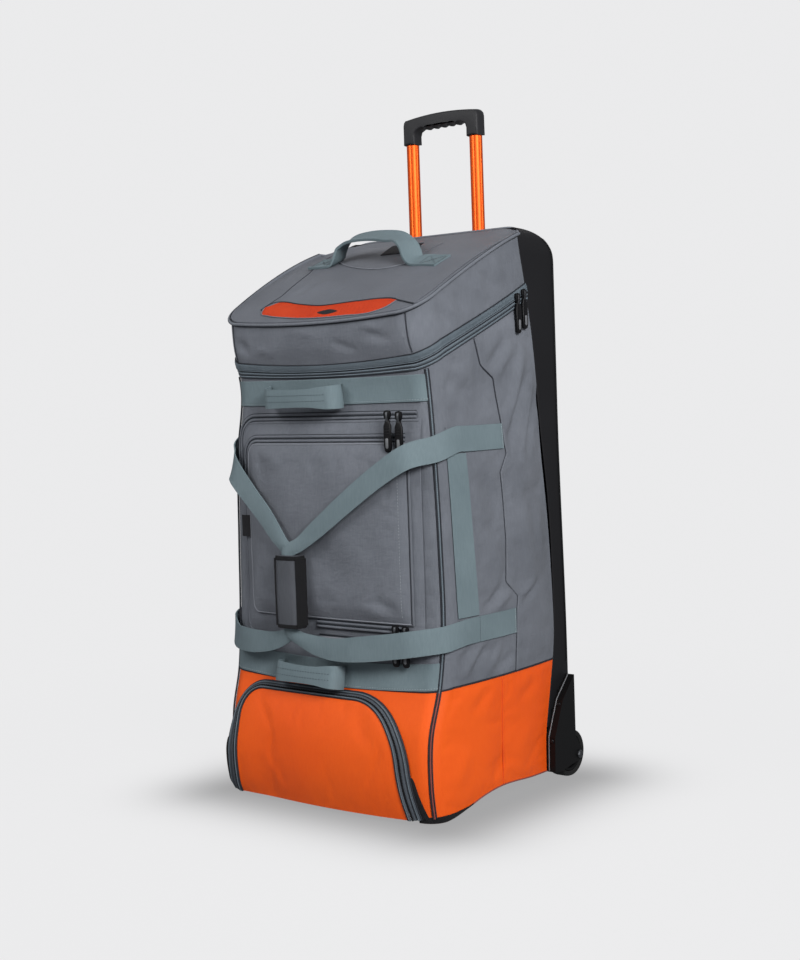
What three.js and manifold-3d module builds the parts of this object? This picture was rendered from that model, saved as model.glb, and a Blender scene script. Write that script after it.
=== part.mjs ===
import * as THREE from 'three';
import { mergeVertices } from 'three/addons/utils/BufferGeometryUtils.js';
import Module from 'manifold-3d';

// A tall wheeled gear bag, in millimetres. X runs to the right across the front, Y to the back, Z up.

const GAP = 0.5; // clearance between pieces that lie on each other
const CLOTH = 2.4; // body fabric with its foam
const POCKET_CLOTH = 2.2;
const WEBBING = 1.8;
const WEBBING_WIDTH = 38;
const SIDE_WEBBING = { low: 39, high: 28, width: 46 }; // its front edge at each end
const MOULDED_WALL = 3;

// Fabric body: half width, front face and corner radius of each level section
const BODY_SECTIONS = [
  { z: 0, half: 204, front: -14, corner: 30 },
  { z: 60, half: 207, front: -25, corner: 30 },
  { z: 130, half: 208, front: -23, corner: 30 },
  { z: 196, half: 211, front: -4, corner: 30 },
  { z: 280, half: 214, front: 6, corner: 30 },
  { z: 400, half: 212, front: 8, corner: 30 },
  { z: 540, half: 207, front: 8, corner: 32 },
  { z: 630, half: 199, front: 11, corner: 36 },
  { z: 668, half: 200, front: 4, corner: 40 },
  { z: 700, half: 200, front: -8, corner: 44 },
  { z: 745, half: 199, front: -13, corner: 44 },
  { z: 900, half: 199, front: -13, corner: 44 },
];
const FRONT_CROWN = 5;
const SIDE_CROWN = 5;
const FRONT_SHARE = 0.46; // part of the wall's run that is the front, up to the corner
const CORNER_SHARE = 0.62; // part of the run up to the end of the corner
const BACK_HALF = 203; // half width where the fabric meets the moulded back
const BACK_GAP = 1.8; // seam allowance along that line

// Line where the fabric meets the moulded back
const REAR_EDGE = [
  { z: 0, y: 270 },
  { z: 80, y: 272 },
  { z: 150, y: 286 },
  { z: 226, y: 300 },
  { z: 353, y: 302 },
  { z: 449, y: 296 },
  { z: 576, y: 279 },
  { z: 700, y: 265 },
  { z: 785, y: 249 },
  { z: 855, y: 234 },
  { z: 900, y: 232 },
];

// Seams, lid lines and the lower edge
const SEAM = { z: 198, sag: 9 };
const LOWER_EDGE = [
  { y: -30, z: 4 },
  { y: 20, z: 5 },
  { y: 60, z: 14 },
  { y: 100, z: 24 },
  { y: 143, z: 29 },
  { y: 228, z: 24 },
  { y: 280, z: 22 },
];
const LID_ZIP = { z: 686, slope: 0.38, sag: 14, height: 25, frontHeight: 19 };
const LID = { front: 740, rise: 0.61, ease: 0.00061, sag: 6, crown: 7, seat: 4.1 };
const LID_REAR = { middle: 283, corner: 233, ease: 1.8 };

// Moulded back
const BACK = { rear: 338, lean: 8, corner: 12, bottom: 28.6, top: 878 };
const BACK_ROLL = { radius: 58, cap: 45, turn: 0.96 }; // top rolled forwards, over rounded upper corners

// Pull handle
const HANDLE = { x: 65.4, y: 321.5, tube: 10.5, flute: 0.7, foot: 700, joint: 1036, top: 1077, arch: 6 };
const HANDLE_GRIP = { half: 77.5, leg: 24.5, under: 1058, depth: 23, bevel: 4, fingers: 6 };
const GUIDE = { bore: 11.2, outside: 12.7, bottom: 530, top: 818 };
const BEZEL = { half: 96, thick: 3.5, from: 22, to: 62 };

// Wheels and their housings
const WHEEL = { y: 340, z: 38, radius: 38, width: 26, rim: 29.5, hubWidth: 22, middle: 191, bore: 4.5 };
const AXLE = { radius: 4, head: 7, headThick: 3.6 };
const HOUSING = { inner: 169, outer: 219, wellInner: 174.5, wellOuter: 207, wellRadius: 41 };
const HOUSING_SIDE = [
  { y: 331, z: 168 },
  { y: 297, z: 133 },
  { y: 272.4, z: 77 },
  { y: 270.8, z: 22 },
  { y: 290, z: 20 },
  { y: 328, z: 27 },
  { y: 345, z: 28 },
  { y: 351, z: 38 },
  { y: 345, z: 50 },
  { y: 331, z: 66 },
];

// Floor and feet
const FLOOR = { half: 199, front: -6, step: 267, rearHalf: 167, rear: 345.5, corner: 40, z: 24, thick: 4 };
const FOOT = { x: 130, y: 60, length: 70, width: 44, corner: 12 };

// Boot door: inner and outer outlines of its zip
const DOOR = { left: -166, right: 142.5, top: 171, bottom: 6, proud: 9, crown: 8 };
const DOOR_CORNER = { left: 42, right: 80 };
const DOOR_FLARE = { left: 4, right: 18 };
const DOOR_ZIP = 20;
const DOOR_TOP_SHARE = 0.65; // the zip is narrower along the top than down the sides

// Pockets on the front
const OUTER_POCKET = { left: -176.5, right: 180, bottom: 252, top: 588, radius: 26, depth: 6, crown: 4 };
const INNER_POCKET = { left: -156, right: 166, bottom: 288, top: 554.5, radius: 20, depth: 6, crown: 4 };
const POCKET_ZIP = { width: 11, thick: 3 };
const PULL = { head: 12, headLength: 15, tab: 10, length: 61, thick: 4 };

// Bands and grab loops on the front
const UPPER_BAND = { z: 633, sag: 2, loopFrom: -112, loopTo: 44, loopDrop: 14 };
const LOWER_BAND = { z: 220, sag: 13, loopFrom: -112, loopTo: 36, loopDrop: 8 };
const GRAB = { width: 33, reach: 30, thick: 3.2 };

// Straps: stations on the front, with the width of the webbing there
const STRAP_SIDE = { upper: 556, lower: 276, upperEnd: 167, lowerEnd: 179 };
const STRAP_SEWN = [
  { y: 186, lift: 0 },
  { y: 148, lift: 0.3 },
  { y: 110, lift: 0.2 },
  { y: 78, lift: 0.8 },
  { y: 56, lift: 2.6 },
];
const GRIP_WRAP = { x: -46, y: -38, bottom: 276, top: 388, width: 56, depth: 28, bore: 29, slot: 7.6 };
const STRAP_OFFSET = 1.5; // each strap's distance from the middle of the wrap
const GATHERED = 22; // width of the webbing inside the wrap
const RIGHT_UPPER = [
  { x: 176, y: -20, z: 535, width: WEBBING_WIDTH },
  { x: 125, y: -29, z: 506, width: WEBBING_WIDTH },
  { x: 69, y: -34, z: 468, width: WEBBING_WIDTH },
  { x: 12, y: -38, z: 427, width: 32 },
  { x: -22, y: -39, z: 404, width: GATHERED },
];
const RIGHT_LOWER = [
  { x: -30, y: -39, z: 258, width: GATHERED },
  { x: 2, y: -38, z: 246, width: 30 },
  { x: 40, y: -37, z: 241, width: 34 },
  { x: 88, y: -34, z: 245, width: WEBBING_WIDTH },
  { x: 140, y: -29, z: 256, width: WEBBING_WIDTH },
  { x: 180, y: -19, z: 265, width: WEBBING_WIDTH },
];
const LEFT_UPPER = [
  { x: -174, y: -20, z: 512, width: WEBBING_WIDTH },
  { x: -128, y: -28, z: 470, width: WEBBING_WIDTH },
  { x: -98, y: -32, z: 444, width: 34 },
  { x: -72, y: -35, z: 416, width: 28 },
  { x: -58, y: -36, z: 402, width: GATHERED },
];
const LEFT_LOWER = [
  { x: -60, y: -36, z: 262, width: GATHERED },
  { x: -84, y: -36, z: 254, width: 28 },
  { x: -116, y: -34, z: 250, width: 34 },
  { x: -150, y: -29, z: 249, width: WEBBING_WIDTH },
  { x: -182, y: -18, z: 251, width: WEBBING_WIDTH },
];

// Lid handle and lid trim
const LID_HANDLE = { y: 138, skew: 0.14, foot: 146, rise: 84, lift: 45, thick: 4 };
const VENT = { left: -126, right: 143, front: -10, bend: 16, depth: 27 };
const LID_LABEL = { x: 10, y: 178, width: 50, length: 22, thick: 1.4 };
const POCKET_LABEL = { x: -166.5, z: 425, width: 17, height: 33, thick: 1.4 };
const PIPING = { radius: 3.2, stripWidth: 11, stripHigh: 3.2, foot: 12 };

const CLOTH_ROUGHNESS = 0.85;
const GREY = finish(0x6a6c73, CLOTH_ROUGHNESS);
const DARK_GREY = finish(0x3c4146, 0.8);
const WEB_GREY = finish(0x76888e, CLOTH_ROUGHNESS);
const ORANGE = finish(0xdf521e, CLOTH_ROUGHNESS);
const VENT_ORANGE = finish(0xe04a1e, 0.9);
const TUBE_ORANGE = finish(0xf07828, 0.25, 0.6);
const BLACK = finish(0x1c1c1e, 0.5);
const RUBBER = finish(0x151516, 0.9);
const STEEL = finish(0x9a9da0, 0.35, 1);

const wasm = await Module();
wasm.setup();

function finish(color, roughness, metalness = 0) {
  return { color, roughness, metalness };
}

function point(x, y, z) {
  return new THREE.Vector3(x, y, z);
}

function lerp(a, b, t) {
  return a + (b - a) * t;
}

function steps(count) {
  return Array.from({ length: count + 1 }, (_, k) => k / count);
}

function smoothTable(table, from, to) {
  const curve = new THREE.CubicInterpolant(table.map((row) => row[from]), table.map((row) => row[to]), 1);
  return (value) => curve.evaluate(value)[0];
}

const halfAt = smoothTable(BODY_SECTIONS, 'z', 'half');
const frontAt = smoothTable(BODY_SECTIONS, 'z', 'front');
const cornerAt = smoothTable(BODY_SECTIONS, 'z', 'corner');
const rearEdgeAt = smoothTable(REAR_EDGE, 'z', 'y');
const lowerEdgeAt = smoothTable(LOWER_EDGE, 'y', 'z');

// Body surface: u runs from -1 at the left rear over 0 at the middle of the front to 1 at the right rear
function bodyPoint(u, z) {
  const side = u < 0 ? -1 : 1;
  const run = Math.abs(u);
  const half = halfAt(z);
  const front = frontAt(z);
  const corner = cornerAt(z);
  const flat = half - corner;
  if (run <= FRONT_SHARE) {
    const f = run / FRONT_SHARE;
    return point(side * flat * f, front - FRONT_CROWN * (1 - f * f), z);
  }
  if (run <= CORNER_SHARE) {
    const angle = (run - FRONT_SHARE) / (CORNER_SHARE - FRONT_SHARE) * Math.PI / 2;
    const x = flat + corner * Math.sin(angle);
    return point(side * x, front + corner * (1 - Math.cos(angle)), z);
  }
  const f = (run - CORNER_SHARE) / (1 - CORNER_SHARE);
  const x = lerp(half, BACK_HALF, f * f) + SIDE_CROWN * 4 * f * (1 - f);
  return point(side * x, lerp(front + corner, rearEdgeAt(z) - GAP, f), z);
}

function bodyNormal(u, z) {
  const along = bodyPoint(u + 0.01, z).sub(bodyPoint(u - 0.01, z));
  const up = bodyPoint(u, z + 1).sub(bodyPoint(u, z - 1));
  return along.cross(up).normalize();
}

function skin(u, z, lift = 0) {
  return bodyPoint(u, z).addScaledVector(bodyNormal(u, z), lift);
}

// Run of a point on the front or on its corners, from its x
function frontRun(x, z) {
  const corner = cornerAt(z);
  const flat = halfAt(z) - corner;
  const past = Math.abs(x) - flat;
  if (past <= 0) return FRONT_SHARE * x / flat;
  const angle = Math.asin(Math.min(1, past / corner));
  return Math.sign(x) * lerp(FRONT_SHARE, CORNER_SHARE, angle / (Math.PI / 2));
}

function sideRun(side, y, z) {
  const start = frontAt(z) + cornerAt(z);
  return side * (CORNER_SHARE + (1 - CORNER_SHARE) * (y - start) / (rearEdgeAt(z) - GAP - start));
}

const HALF_RUNS = [
  ...steps(4).map((t) => FRONT_SHARE * t),
  ...steps(4).slice(1).map((t) => lerp(FRONT_SHARE, CORNER_SHARE, t)),
  ...steps(4).slice(1).map((t) => lerp(CORNER_SHARE, 1, t)),
];
const RUNS = [...HALF_RUNS.slice(1).reverse().map((u) => -u), ...HALF_RUNS];
const CORNER_MIDDLE = (FRONT_SHARE + CORNER_SHARE) / 2;

// How far a line across the front has sagged at run u: 1 in the middle, 0 from the corners on
function sagShare(u) {
  const f = Math.min(1, Math.abs(u) / CORNER_SHARE);
  return 1 - f * f;
}

function seamAt(u) {
  return SEAM.z - SEAM.sag * sagShare(u);
}

function lowerAt(u) {
  return lowerEdgeAt(bodyPoint(u, LOWER_EDGE[0].z).y);
}

function zipTopAt(u) {
  return LID_ZIP.z + LID_ZIP.slope * Math.max(0, bodyPoint(u, LID_ZIP.z).y) - LID_ZIP.sag * sagShare(u);
}

function zipBottomAt(u) {
  return zipTopAt(u) - lerp(LID_ZIP.height, LID_ZIP.frontHeight, sagShare(u));
}

function lidHeight(y) {
  const back = Math.max(0, y - frontAt(LID.front) + FRONT_CROWN);
  return LID.front + LID.rise * back - LID.ease * back * back;
}

function lidEdgeAt(u) {
  return lidHeight(bodyPoint(u, LID.front).y) - LID.sag * sagShare(u);
}

// Lid top: x across, b from 0 at the front edge to 1 at the rear edge
function lidFront(x) {
  const radius = cornerAt(LID.front);
  const flat = halfAt(LID.front) - radius;
  const past = Math.max(0, Math.abs(x) - flat);
  const f = Math.abs(x) / flat;
  const corner = radius - Math.sqrt(Math.max(0, radius ** 2 - past ** 2));
  return frontAt(LID.front) + corner - (f < 1 ? FRONT_CROWN * (1 - f * f) : 0);
}

function lidRear(x) {
  const turn = BACK_HALF - BACK_ROLL.cap;
  const f = Math.max(0, Math.abs(x) - turn) / (halfAt(LID.front) - turn);
  return lerp(LID_REAR.middle, LID_REAR.corner, f ** LID_REAR.ease);
}

function lidPoint(x, y, lift = 0) {
  const across = 1 - (x / halfAt(LID.front)) ** 2;
  const b = THREE.MathUtils.clamp((y - lidFront(x)) / (lidRear(x) - lidFront(x)), 0, 1);
  const swell = LID.crown * Math.sin(Math.PI * b) - LID.sag * (1 - b);
  return point(x, y, lidHeight(y) + across * swell + LID.seat + lift);
}

function lidNormal(x, y) {
  const along = lidPoint(x + 1, y).sub(lidPoint(x - 1, y));
  const back = lidPoint(x, y + 1).sub(lidPoint(x, y - 1));
  return along.cross(back).normalize();
}

// Shapes

function meshFrom(points, triangles) {
  const geometry = new THREE.BufferGeometry();
  geometry.setAttribute('position', new THREE.Float32BufferAttribute(points.flatMap((p) => p.toArray()), 3));
  geometry.setIndex(triangles.flat());
  return geometry;
}

// A wall: a grid of points on its outer face, thickened inwards and closed along its edges
function wall(grid, thickness) {
  const rows = grid.length;
  const columns = grid[0].length;
  const outer = grid.flat();
  const count = outer.length;
  const at = (i, j) => i * columns + j;
  const triangles = [];
  const quad = (a, b, c, d) => triangles.push([a, b, c], [a, c, d]);
  const inner = [];
  for (let i = 0; i < rows; i += 1) {
    for (let j = 0; j < columns; j += 1) {
      const along = grid[i][Math.min(j + 1, columns - 1)].clone().sub(grid[i][Math.max(j - 1, 0)]);
      const up = grid[Math.min(i + 1, rows - 1)][j].clone().sub(grid[Math.max(i - 1, 0)][j]);
      inner.push(grid[i][j].clone().addScaledVector(along.cross(up).normalize(), -thickness));
      if (i < rows - 1 && j < columns - 1) {
        const face = [at(i, j), at(i, j + 1), at(i + 1, j + 1), at(i + 1, j)];
        quad(...face);
        quad(...face.reverse().map((k) => k + count));
      }
    }
  }
  const rim = [];
  for (let j = 0; j < columns - 1; j += 1) rim.push(at(0, j));
  for (let i = 0; i < rows - 1; i += 1) rim.push(at(i, columns - 1));
  for (let j = columns - 1; j > 0; j -= 1) rim.push(at(rows - 1, j));
  for (let i = rows - 1; i > 0; i -= 1) rim.push(at(i, 0));
  rim.forEach((a, k) => {
    const b = rim[(k + 1) % rim.length];
    quad(b, a, a + count, b + count);
  });
  return meshFrom([...outer, ...inner], triangles);
}

// A section, drawn as [across, out] points, carried along stations with a point and an outward normal each
function sweep(stations, section) {
  const points = [];
  const triangles = [];
  const size = section.length;
  stations.forEach((station, k) => {
    const ahead = stations[Math.min(k + 1, stations.length - 1)].at.clone();
    const tangent = ahead.sub(stations[Math.max(k - 1, 0)].at).normalize();
    const across = tangent.clone().cross(station.normal).normalize();
    const out = across.clone().cross(tangent);
    for (const [a, b] of section) {
      points.push(station.at.clone().addScaledVector(across, a).addScaledVector(out, b));
    }
    if (k === 0) return;
    for (let m = 0; m < size; m += 1) {
      const n = (m + 1) % size;
      const near = (k - 1) * size;
      const far = k * size;
      triangles.push([near + m, far + m, far + n], [near + m, far + n, near + n]);
    }
  });
  const last = (stations.length - 1) * size;
  const contour = section.map(([a, b]) => new THREE.Vector2(a, b));
  for (const [a, b, c] of THREE.ShapeUtils.triangulateShape(contour, [])) {
    triangles.push([a, b, c], [last + c, last + b, last + a]);
  }
  return meshFrom(points, triangles);
}

function roundSection(radius, sides) {
  return steps(sides).slice(1).map((t) => {
    const angle = t * Math.PI * 2;
    return [radius * Math.cos(angle), radius * Math.sin(angle)];
  });
}

// A ribbon of webbing along stations with a point, an outward normal and a width
function ribbon(stations, count, thickness) {
  const curve = new THREE.CatmullRomCurve3(stations.map((s) => s.at));
  const normals = new THREE.CatmullRomCurve3(stations.map((s) => s.normal));
  const widths = new THREE.CatmullRomCurve3(stations.map((s) => point(s.width, 0, 0)));
  const grid = steps(count).map((t) => {
    const middle = curve.getPoint(t);
    const across = curve.getTangent(t).cross(normals.getPoint(t)).normalize();
    const half = widths.getPoint(t).x / 2;
    return [-half, half].map((a) => middle.clone().addScaledVector(across, a));
  });
  return wall(grid, thickness);
}

function outlineShape(points) {
  return new THREE.Shape(points.map(([a, b]) => new THREE.Vector2(a, b)));
}

function roundedRectangle(x0, y0, x1, y1, radius) {
  const shape = new THREE.Shape();
  shape.moveTo(x0 + radius, y0);
  shape.lineTo(x1 - radius, y0);
  shape.absarc(x1 - radius, y0 + radius, radius, -Math.PI / 2, 0);
  shape.lineTo(x1, y1 - radius);
  shape.absarc(x1 - radius, y1 - radius, radius, 0, Math.PI / 2);
  shape.lineTo(x0 + radius, y1);
  shape.absarc(x0 + radius, y1 - radius, radius, Math.PI / 2, Math.PI);
  shape.lineTo(x0, y0 + radius);
  shape.absarc(x0 + radius, y0 + radius, radius, Math.PI, Math.PI * 1.5);
  return shape;
}

function slab(shape, depth, bevel = 0, curveSegments = 3) {
  return new THREE.ExtrudeGeometry(shape, {
    depth: depth - 2 * bevel,
    bevelEnabled: bevel > 0,
    bevelThickness: bevel,
    bevelSize: bevel,
    bevelOffset: -bevel,
    bevelSegments: 1,
    curveSegments,
  }).translate(0, 0, bevel);
}

const X_AXIS = point(1, 0, 0);
const Y_AXIS = point(0, 1, 0);
const Z_AXIS = point(0, 0, 1);
const FRONT_FACING = point(0, -1, 0);

// A slab drawn on the side view (y, z) that grows along X, or on the front view (x, z) that grows forwards
function onSide(geometry) {
  return geometry.applyMatrix4(new THREE.Matrix4().makeBasis(Y_AXIS, Z_AXIS, X_AXIS));
}

function onFront(geometry) {
  return geometry.applyMatrix4(new THREE.Matrix4().makeBasis(X_AXIS, Z_AXIS, FRONT_FACING));
}

function solid(geometry) {
  const bare = geometry.clone();
  bare.deleteAttribute('normal');
  bare.deleteAttribute('uv');
  const merged = mergeVertices(bare, 1e-3);
  return new wasm.Manifold(new wasm.Mesh({
    numProp: 3,
    vertProperties: Float32Array.from(merged.attributes.position.array),
    triVerts: Uint32Array.from(merged.index.array),
  }));
}

function cut(geometry, ...tools) {
  const result = tools.reduce((body, tool) => body.subtract(solid(tool)), solid(geometry));
  const mesh = result.getMesh();
  const cutGeometry = new THREE.BufferGeometry();
  cutGeometry.setAttribute('position', new THREE.BufferAttribute(new Float32Array(mesh.vertProperties), 3));
  cutGeometry.setIndex(new THREE.BufferAttribute(new Uint32Array(mesh.triVerts), 1));
  return cutGeometry;
}

function add(group, name, geometry, look) {
  const mesh = new THREE.Mesh(geometry, new THREE.MeshStandardMaterial(look));
  mesh.name = name;
  group.add(mesh);
  return mesh;
}

const bag = new THREE.Group();
const handle = new THREE.Group();
bag.add(handle);

// Fabric walls

function bodyWall(shares, bottomAt, topAt) {
  return wall(shares.map((t) => RUNS.map((u) => skin(u, lerp(bottomAt(u), topAt(u), t)))), CLOTH);
}

const BODY_ROWS = [0, 0.06, 0.13, 0.24, 0.4, 0.56, 0.7, 0.8, 0.87, 0.92, 0.96, 1];
add(bag, 'main_body', bodyWall(BODY_ROWS, (u) => seamAt(u) + GAP, (u) => zipBottomAt(u) - GAP), GREY);
add(bag, 'lid_gusset', bodyWall(steps(3), (u) => zipTopAt(u) + GAP, lidEdgeAt), GREY);

function addLidZip() {
  const lifts = [0, 3, 3.5, 1.5];
  const grid = lifts.map((lift, i) => {
    const t = i / (lifts.length - 1);
    return RUNS.map((u) => skin(u, lerp(zipBottomAt(u), zipTopAt(u), t), lift));
  });
  add(bag, 'lid_zip', wall(grid, 2), DARK_GREY);
}
addLidZip();

// Boot: orange wall with a D-shaped doorway, the door and the zip round it

function doorSide(edge, z, grow) {
  const hand = edge < 0 ? 'left' : 'right';
  const outwards = Math.sign(edge);
  const top = DOOR.top + DOOR_TOP_SHARE * grow;
  const radius = DOOR_CORNER[hand] + grow;
  const rise = Math.max(0, z - (top - radius));
  const inset = radius - Math.sqrt(Math.max(0, radius ** 2 - rise ** 2));
  const flare = DOOR_FLARE[hand] * Math.max(0, 1 - (z - DOOR.bottom) / (DOOR.top - DOOR.bottom)) ** 2;
  return edge + outwards * (grow + flare - inset);
}

function doorOutline(grow, count = 5) {
  const top = DOOR.top + DOOR_TOP_SHARE * grow;
  const arc = steps(count).map((t) => top - (DOOR_CORNER.right + grow) * (1 - Math.sin(t * Math.PI / 2)));
  const heights = [...steps(4).slice(0, -1).map((t) => lerp(DOOR.bottom, arc[0], t)), ...arc];
  const right = heights.map((z) => [doorSide(DOOR.right, z, grow), z]);
  const left = heights.map((z) => [doorSide(DOOR.left, z, grow), z]);
  return { left, right };
}

function addBoot() {
  const shell = bodyWall(steps(5), lowerAt, (u) => seamAt(u) - GAP);
  const opening = doorOutline(DOOR_ZIP + 0.5);
  const way = outlineShape([[opening.left[0][0], -60], ...opening.left, ...opening.right.reverse(),
    [opening.right.at(-1)[0], -60]].reverse());
  const doorway = onFront(slab(way, 90)).translate(0, 40, 0);
  add(bag, 'boot_body', cut(shell, doorway), ORANGE);
}
addBoot();

function doorRing(grow) {
  const { left, right } = doorOutline(grow);
  const bridge = steps(6).slice(1, -1).map((t) => [lerp(left.at(-1)[0], right.at(-1)[0], t), left.at(-1)[1]]);
  return [...left, ...bridge, ...right.reverse()];
}

function addBootZip() {
  const bands = [
    { grow: DOOR_ZIP - GAP, lift: 1.2 },
    { grow: DOOR_ZIP * 0.62, lift: DOOR.proud * 0.75 },
    { grow: DOOR_ZIP * 0.3, lift: DOOR.proud + 1.5 },
    { grow: GAP, lift: DOOR.proud },
  ];
  const grid = bands.map(({ grow, lift }) => doorRing(grow).map(([x, z]) => skin(frontRun(x, z), z, lift)));
  add(bag, 'boot_zip', wall(grid.reverse(), 2.2), DARK_GREY);
}
addBootZip();

function addBootDoor() {
  const { left, right } = doorOutline(0);
  const grid = left.map(([x0, z], i) => steps(8).map((t) => {
    const x = lerp(x0, right[i][0], t);
    const rise = (z - DOOR.bottom) / (DOOR.top - DOOR.bottom);
    const crown = DOOR.crown * 4 * t * (1 - t) * (1 - rise ** 3);
    return skin(frontRun(x, z), z, DOOR.proud + crown);
  }));
  add(bag, 'boot_door', wall(grid, CLOTH), ORANGE);
}
addBootDoor();

// Lid top with its vent, piping, handle and label

function addLidTop() {
  const half = halfAt(LID.front);
  const across = [...steps(6).map((t) => lerp(-0.78, 0.78, t)), 0.9, 0.97, 1];
  const columns = [-1, -0.97, -0.9, ...across].map((f) => f * half);
  const grid = steps(8).map((b) => columns.map((x) => lidPoint(x, lerp(lidFront(x), lidRear(x), b))));
  add(bag, 'lid_top', wall(grid, CLOTH), GREY);
}
addLidTop();

function addLidVent() {
  const grid = steps(3).map((t) => steps(12).map((s) => {
    const x = lerp(VENT.left, VENT.right, s);
    const taper = Math.sqrt(Math.max(0.01, 1 - s ** 3)) * Math.sqrt(Math.min(1, 0.05 + s * 12));
    const front = VENT.front + VENT.bend * (2 * s - 1) ** 2;
    return lidPoint(x, front + VENT.depth * taper * t, GAP + 1.2);
  }));
  add(bag, 'lid_vent', wall(grid, 1.2), VENT_ORANGE);
}
addLidVent();

function addLidPiping() {
  const stations = RUNS.map((u) => {
    const z = lidEdgeAt(u);
    return { at: skin(u, z, PIPING.radius + GAP), normal: bodyNormal(u, z) };
  });
  add(bag, 'lid_piping', sweep(stations, roundSection(PIPING.radius, 5)), GREY);
}
addLidPiping();

function addLidHandle() {
  const profile = [
    { x: LID_HANDLE.foot, lift: 0 },
    { x: 118, lift: 0 },
    { x: 96, lift: 1 },
    { x: LID_HANDLE.rise, lift: 12 },
    { x: 66, lift: LID_HANDLE.lift * 0.8 },
    { x: 34, lift: LID_HANDLE.lift * 0.97 },
    { x: 0, lift: LID_HANDLE.lift },
  ];
  const mirrored = profile.slice(0, -1).map(({ x, lift }) => ({ x: -x, lift }));
  const base = GAP + LID_HANDLE.thick + 0.4;
  const stations = [...mirrored, ...profile.reverse()].map(({ x, lift }) => {
    const turn = lift > 2 && lift < 40 ? Math.sign(x) : 0;
    const y = LID_HANDLE.y - LID_HANDLE.skew * x;
    const level = lift > 2 ? lidPoint(x, LID_HANDLE.y).z - lidPoint(x, y).z : 0; // the arch runs level
    return {
      at: lidPoint(x, y, base + lift + level),
      normal: lidNormal(x, y).addScaledVector(X_AXIS, turn).normalize(),
      width: WEBBING_WIDTH,
    };
  });
  add(bag, 'lid_handle', ribbon(stations, 24, LID_HANDLE.thick), WEB_GREY);
}
addLidHandle();

function addLidLabel() {
  const { x, y, width, length, thick } = LID_LABEL;
  const grid = steps(2).map((b) => steps(3).map((t) => {
    return lidPoint(x + lerp(-width / 2, width / 2, t), y + lerp(-length / 2, length / 2, b), GAP + thick);
  }));
  add(bag, 'lid_label', wall(grid, thick), BLACK);
}
addLidLabel();

// Pockets

const PLATEAU_RISE = 0.08;
const ZIP_SEAT = 0.9;
const ZIP_END = 18; // distance of a zip's end from the right edge of its pocket

function plateau(f) {
  return Math.min(1, Math.min(f, 1 - f) / PLATEAU_RISE);
}

function pocketSwell(pocket, x, z) {
  const fx = THREE.MathUtils.clamp((x - pocket.left) / (pocket.right - pocket.left), 0, 1);
  const fz = THREE.MathUtils.clamp((z - pocket.bottom) / (pocket.top - pocket.bottom), 0, 1);
  const crown = pocket.crown * 16 * fx * (1 - fx) * fz * (1 - fz);
  return pocket.depth * plateau(fx) * plateau(fz) + crown;
}

function outerLift(x, z) {
  return GAP + POCKET_CLOTH + pocketSwell(OUTER_POCKET, x, z);
}

function innerLift(x, z) {
  return outerLift(x, z) + ZIP_SEAT + POCKET_CLOTH + pocketSwell(INNER_POCKET, x, z);
}

function onPocket(x, z, lift) {
  return skin(frontRun(x, z), z, lift);
}

function pocketNormal(liftAt, x, z) {
  const along = onPocket(x + 1, z, liftAt(x + 1, z)).sub(onPocket(x - 1, z, liftAt(x - 1, z)));
  const up = onPocket(x, z + 1, liftAt(x, z + 1)).sub(onPocket(x, z - 1, liftAt(x, z - 1)));
  return along.cross(up).normalize();
}

function pocketInset(pocket, z) {
  const near = Math.min(z - pocket.bottom, pocket.top - z);
  const past = Math.max(0, pocket.radius - near);
  return pocket.radius - Math.sqrt(Math.max(0, pocket.radius ** 2 - past ** 2));
}

function addPocket(name, pocket, liftAt) {
  const shares = [0, 0.03, 0.08, 0.22, 0.4, 0.6, 0.78, 0.92, 0.97, 1];
  const grid = shares.map((fz) => shares.map((fx) => {
    const z = lerp(pocket.bottom, pocket.top, fz);
    const x = lerp(pocket.left + pocketInset(pocket, z), pocket.right, fx);
    return onPocket(x, z, liftAt(x, z));
  }));
  add(bag, name, wall(grid, POCKET_CLOTH), GREY);
}
addPocket('outer_pocket', OUTER_POCKET, outerLift);
addPocket('inner_pocket', INNER_POCKET, innerLift);

const ZIP_SECTION = [
  [-POCKET_ZIP.width / 2, 0],
  [POCKET_ZIP.width / 2, 0],
  [POCKET_ZIP.width / 2, POCKET_ZIP.thick * 0.4],
  [0, POCKET_ZIP.thick],
  [-POCKET_ZIP.width / 2, POCKET_ZIP.thick * 0.4],
];

// A zip that runs from the right along the top of a pocket, round its left corner and down the side
function addPocketZip(name, pocket, baseAt, down) {
  const away = POCKET_ZIP.width / 2 + 1;
  const radius = pocket.radius + away;
  const left = pocket.left - away;
  const top = pocket.top + away;
  const route = [
    ...steps(8).map((t) => [lerp(pocket.right - ZIP_END, left + radius, t ** 1.4), top]),
    ...steps(5).slice(1).map((t) => {
      const angle = t * Math.PI / 2;
      return [left + radius * (1 - Math.sin(angle)), top - radius * (1 - Math.cos(angle))];
    }),
    ...steps(3).slice(1).map((t) => [left, lerp(top - radius, down, t)]),
  ];
  const stations = route.map(([x, z]) => ({
    at: onPocket(x, z, baseAt(x, z)),
    normal: pocketNormal(baseAt, x, z),
  }));
  add(bag, name, sweep(stations, ZIP_SECTION), DARK_GREY);
}
addPocketZip('outer_zip', OUTER_POCKET, () => ZIP_SEAT, 470);
addPocketZip('inner_zip', INNER_POCKET, (x, z) => outerLift(x, z) + ZIP_SEAT, 500);

function addLowerZip() {
  const z = INNER_POCKET.bottom - POCKET_ZIP.width / 2 - 2;
  const stations = steps(8).map((t) => {
    const x = lerp(INNER_POCKET.right - 13, -16, t);
    return { at: onPocket(x, z, outerLift(x, z) + ZIP_SEAT), normal: pocketNormal(outerLift, x, z) };
  });
  add(bag, 'lower_zip', sweep(stations, ZIP_SECTION), DARK_GREY);
}
addLowerZip();

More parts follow.
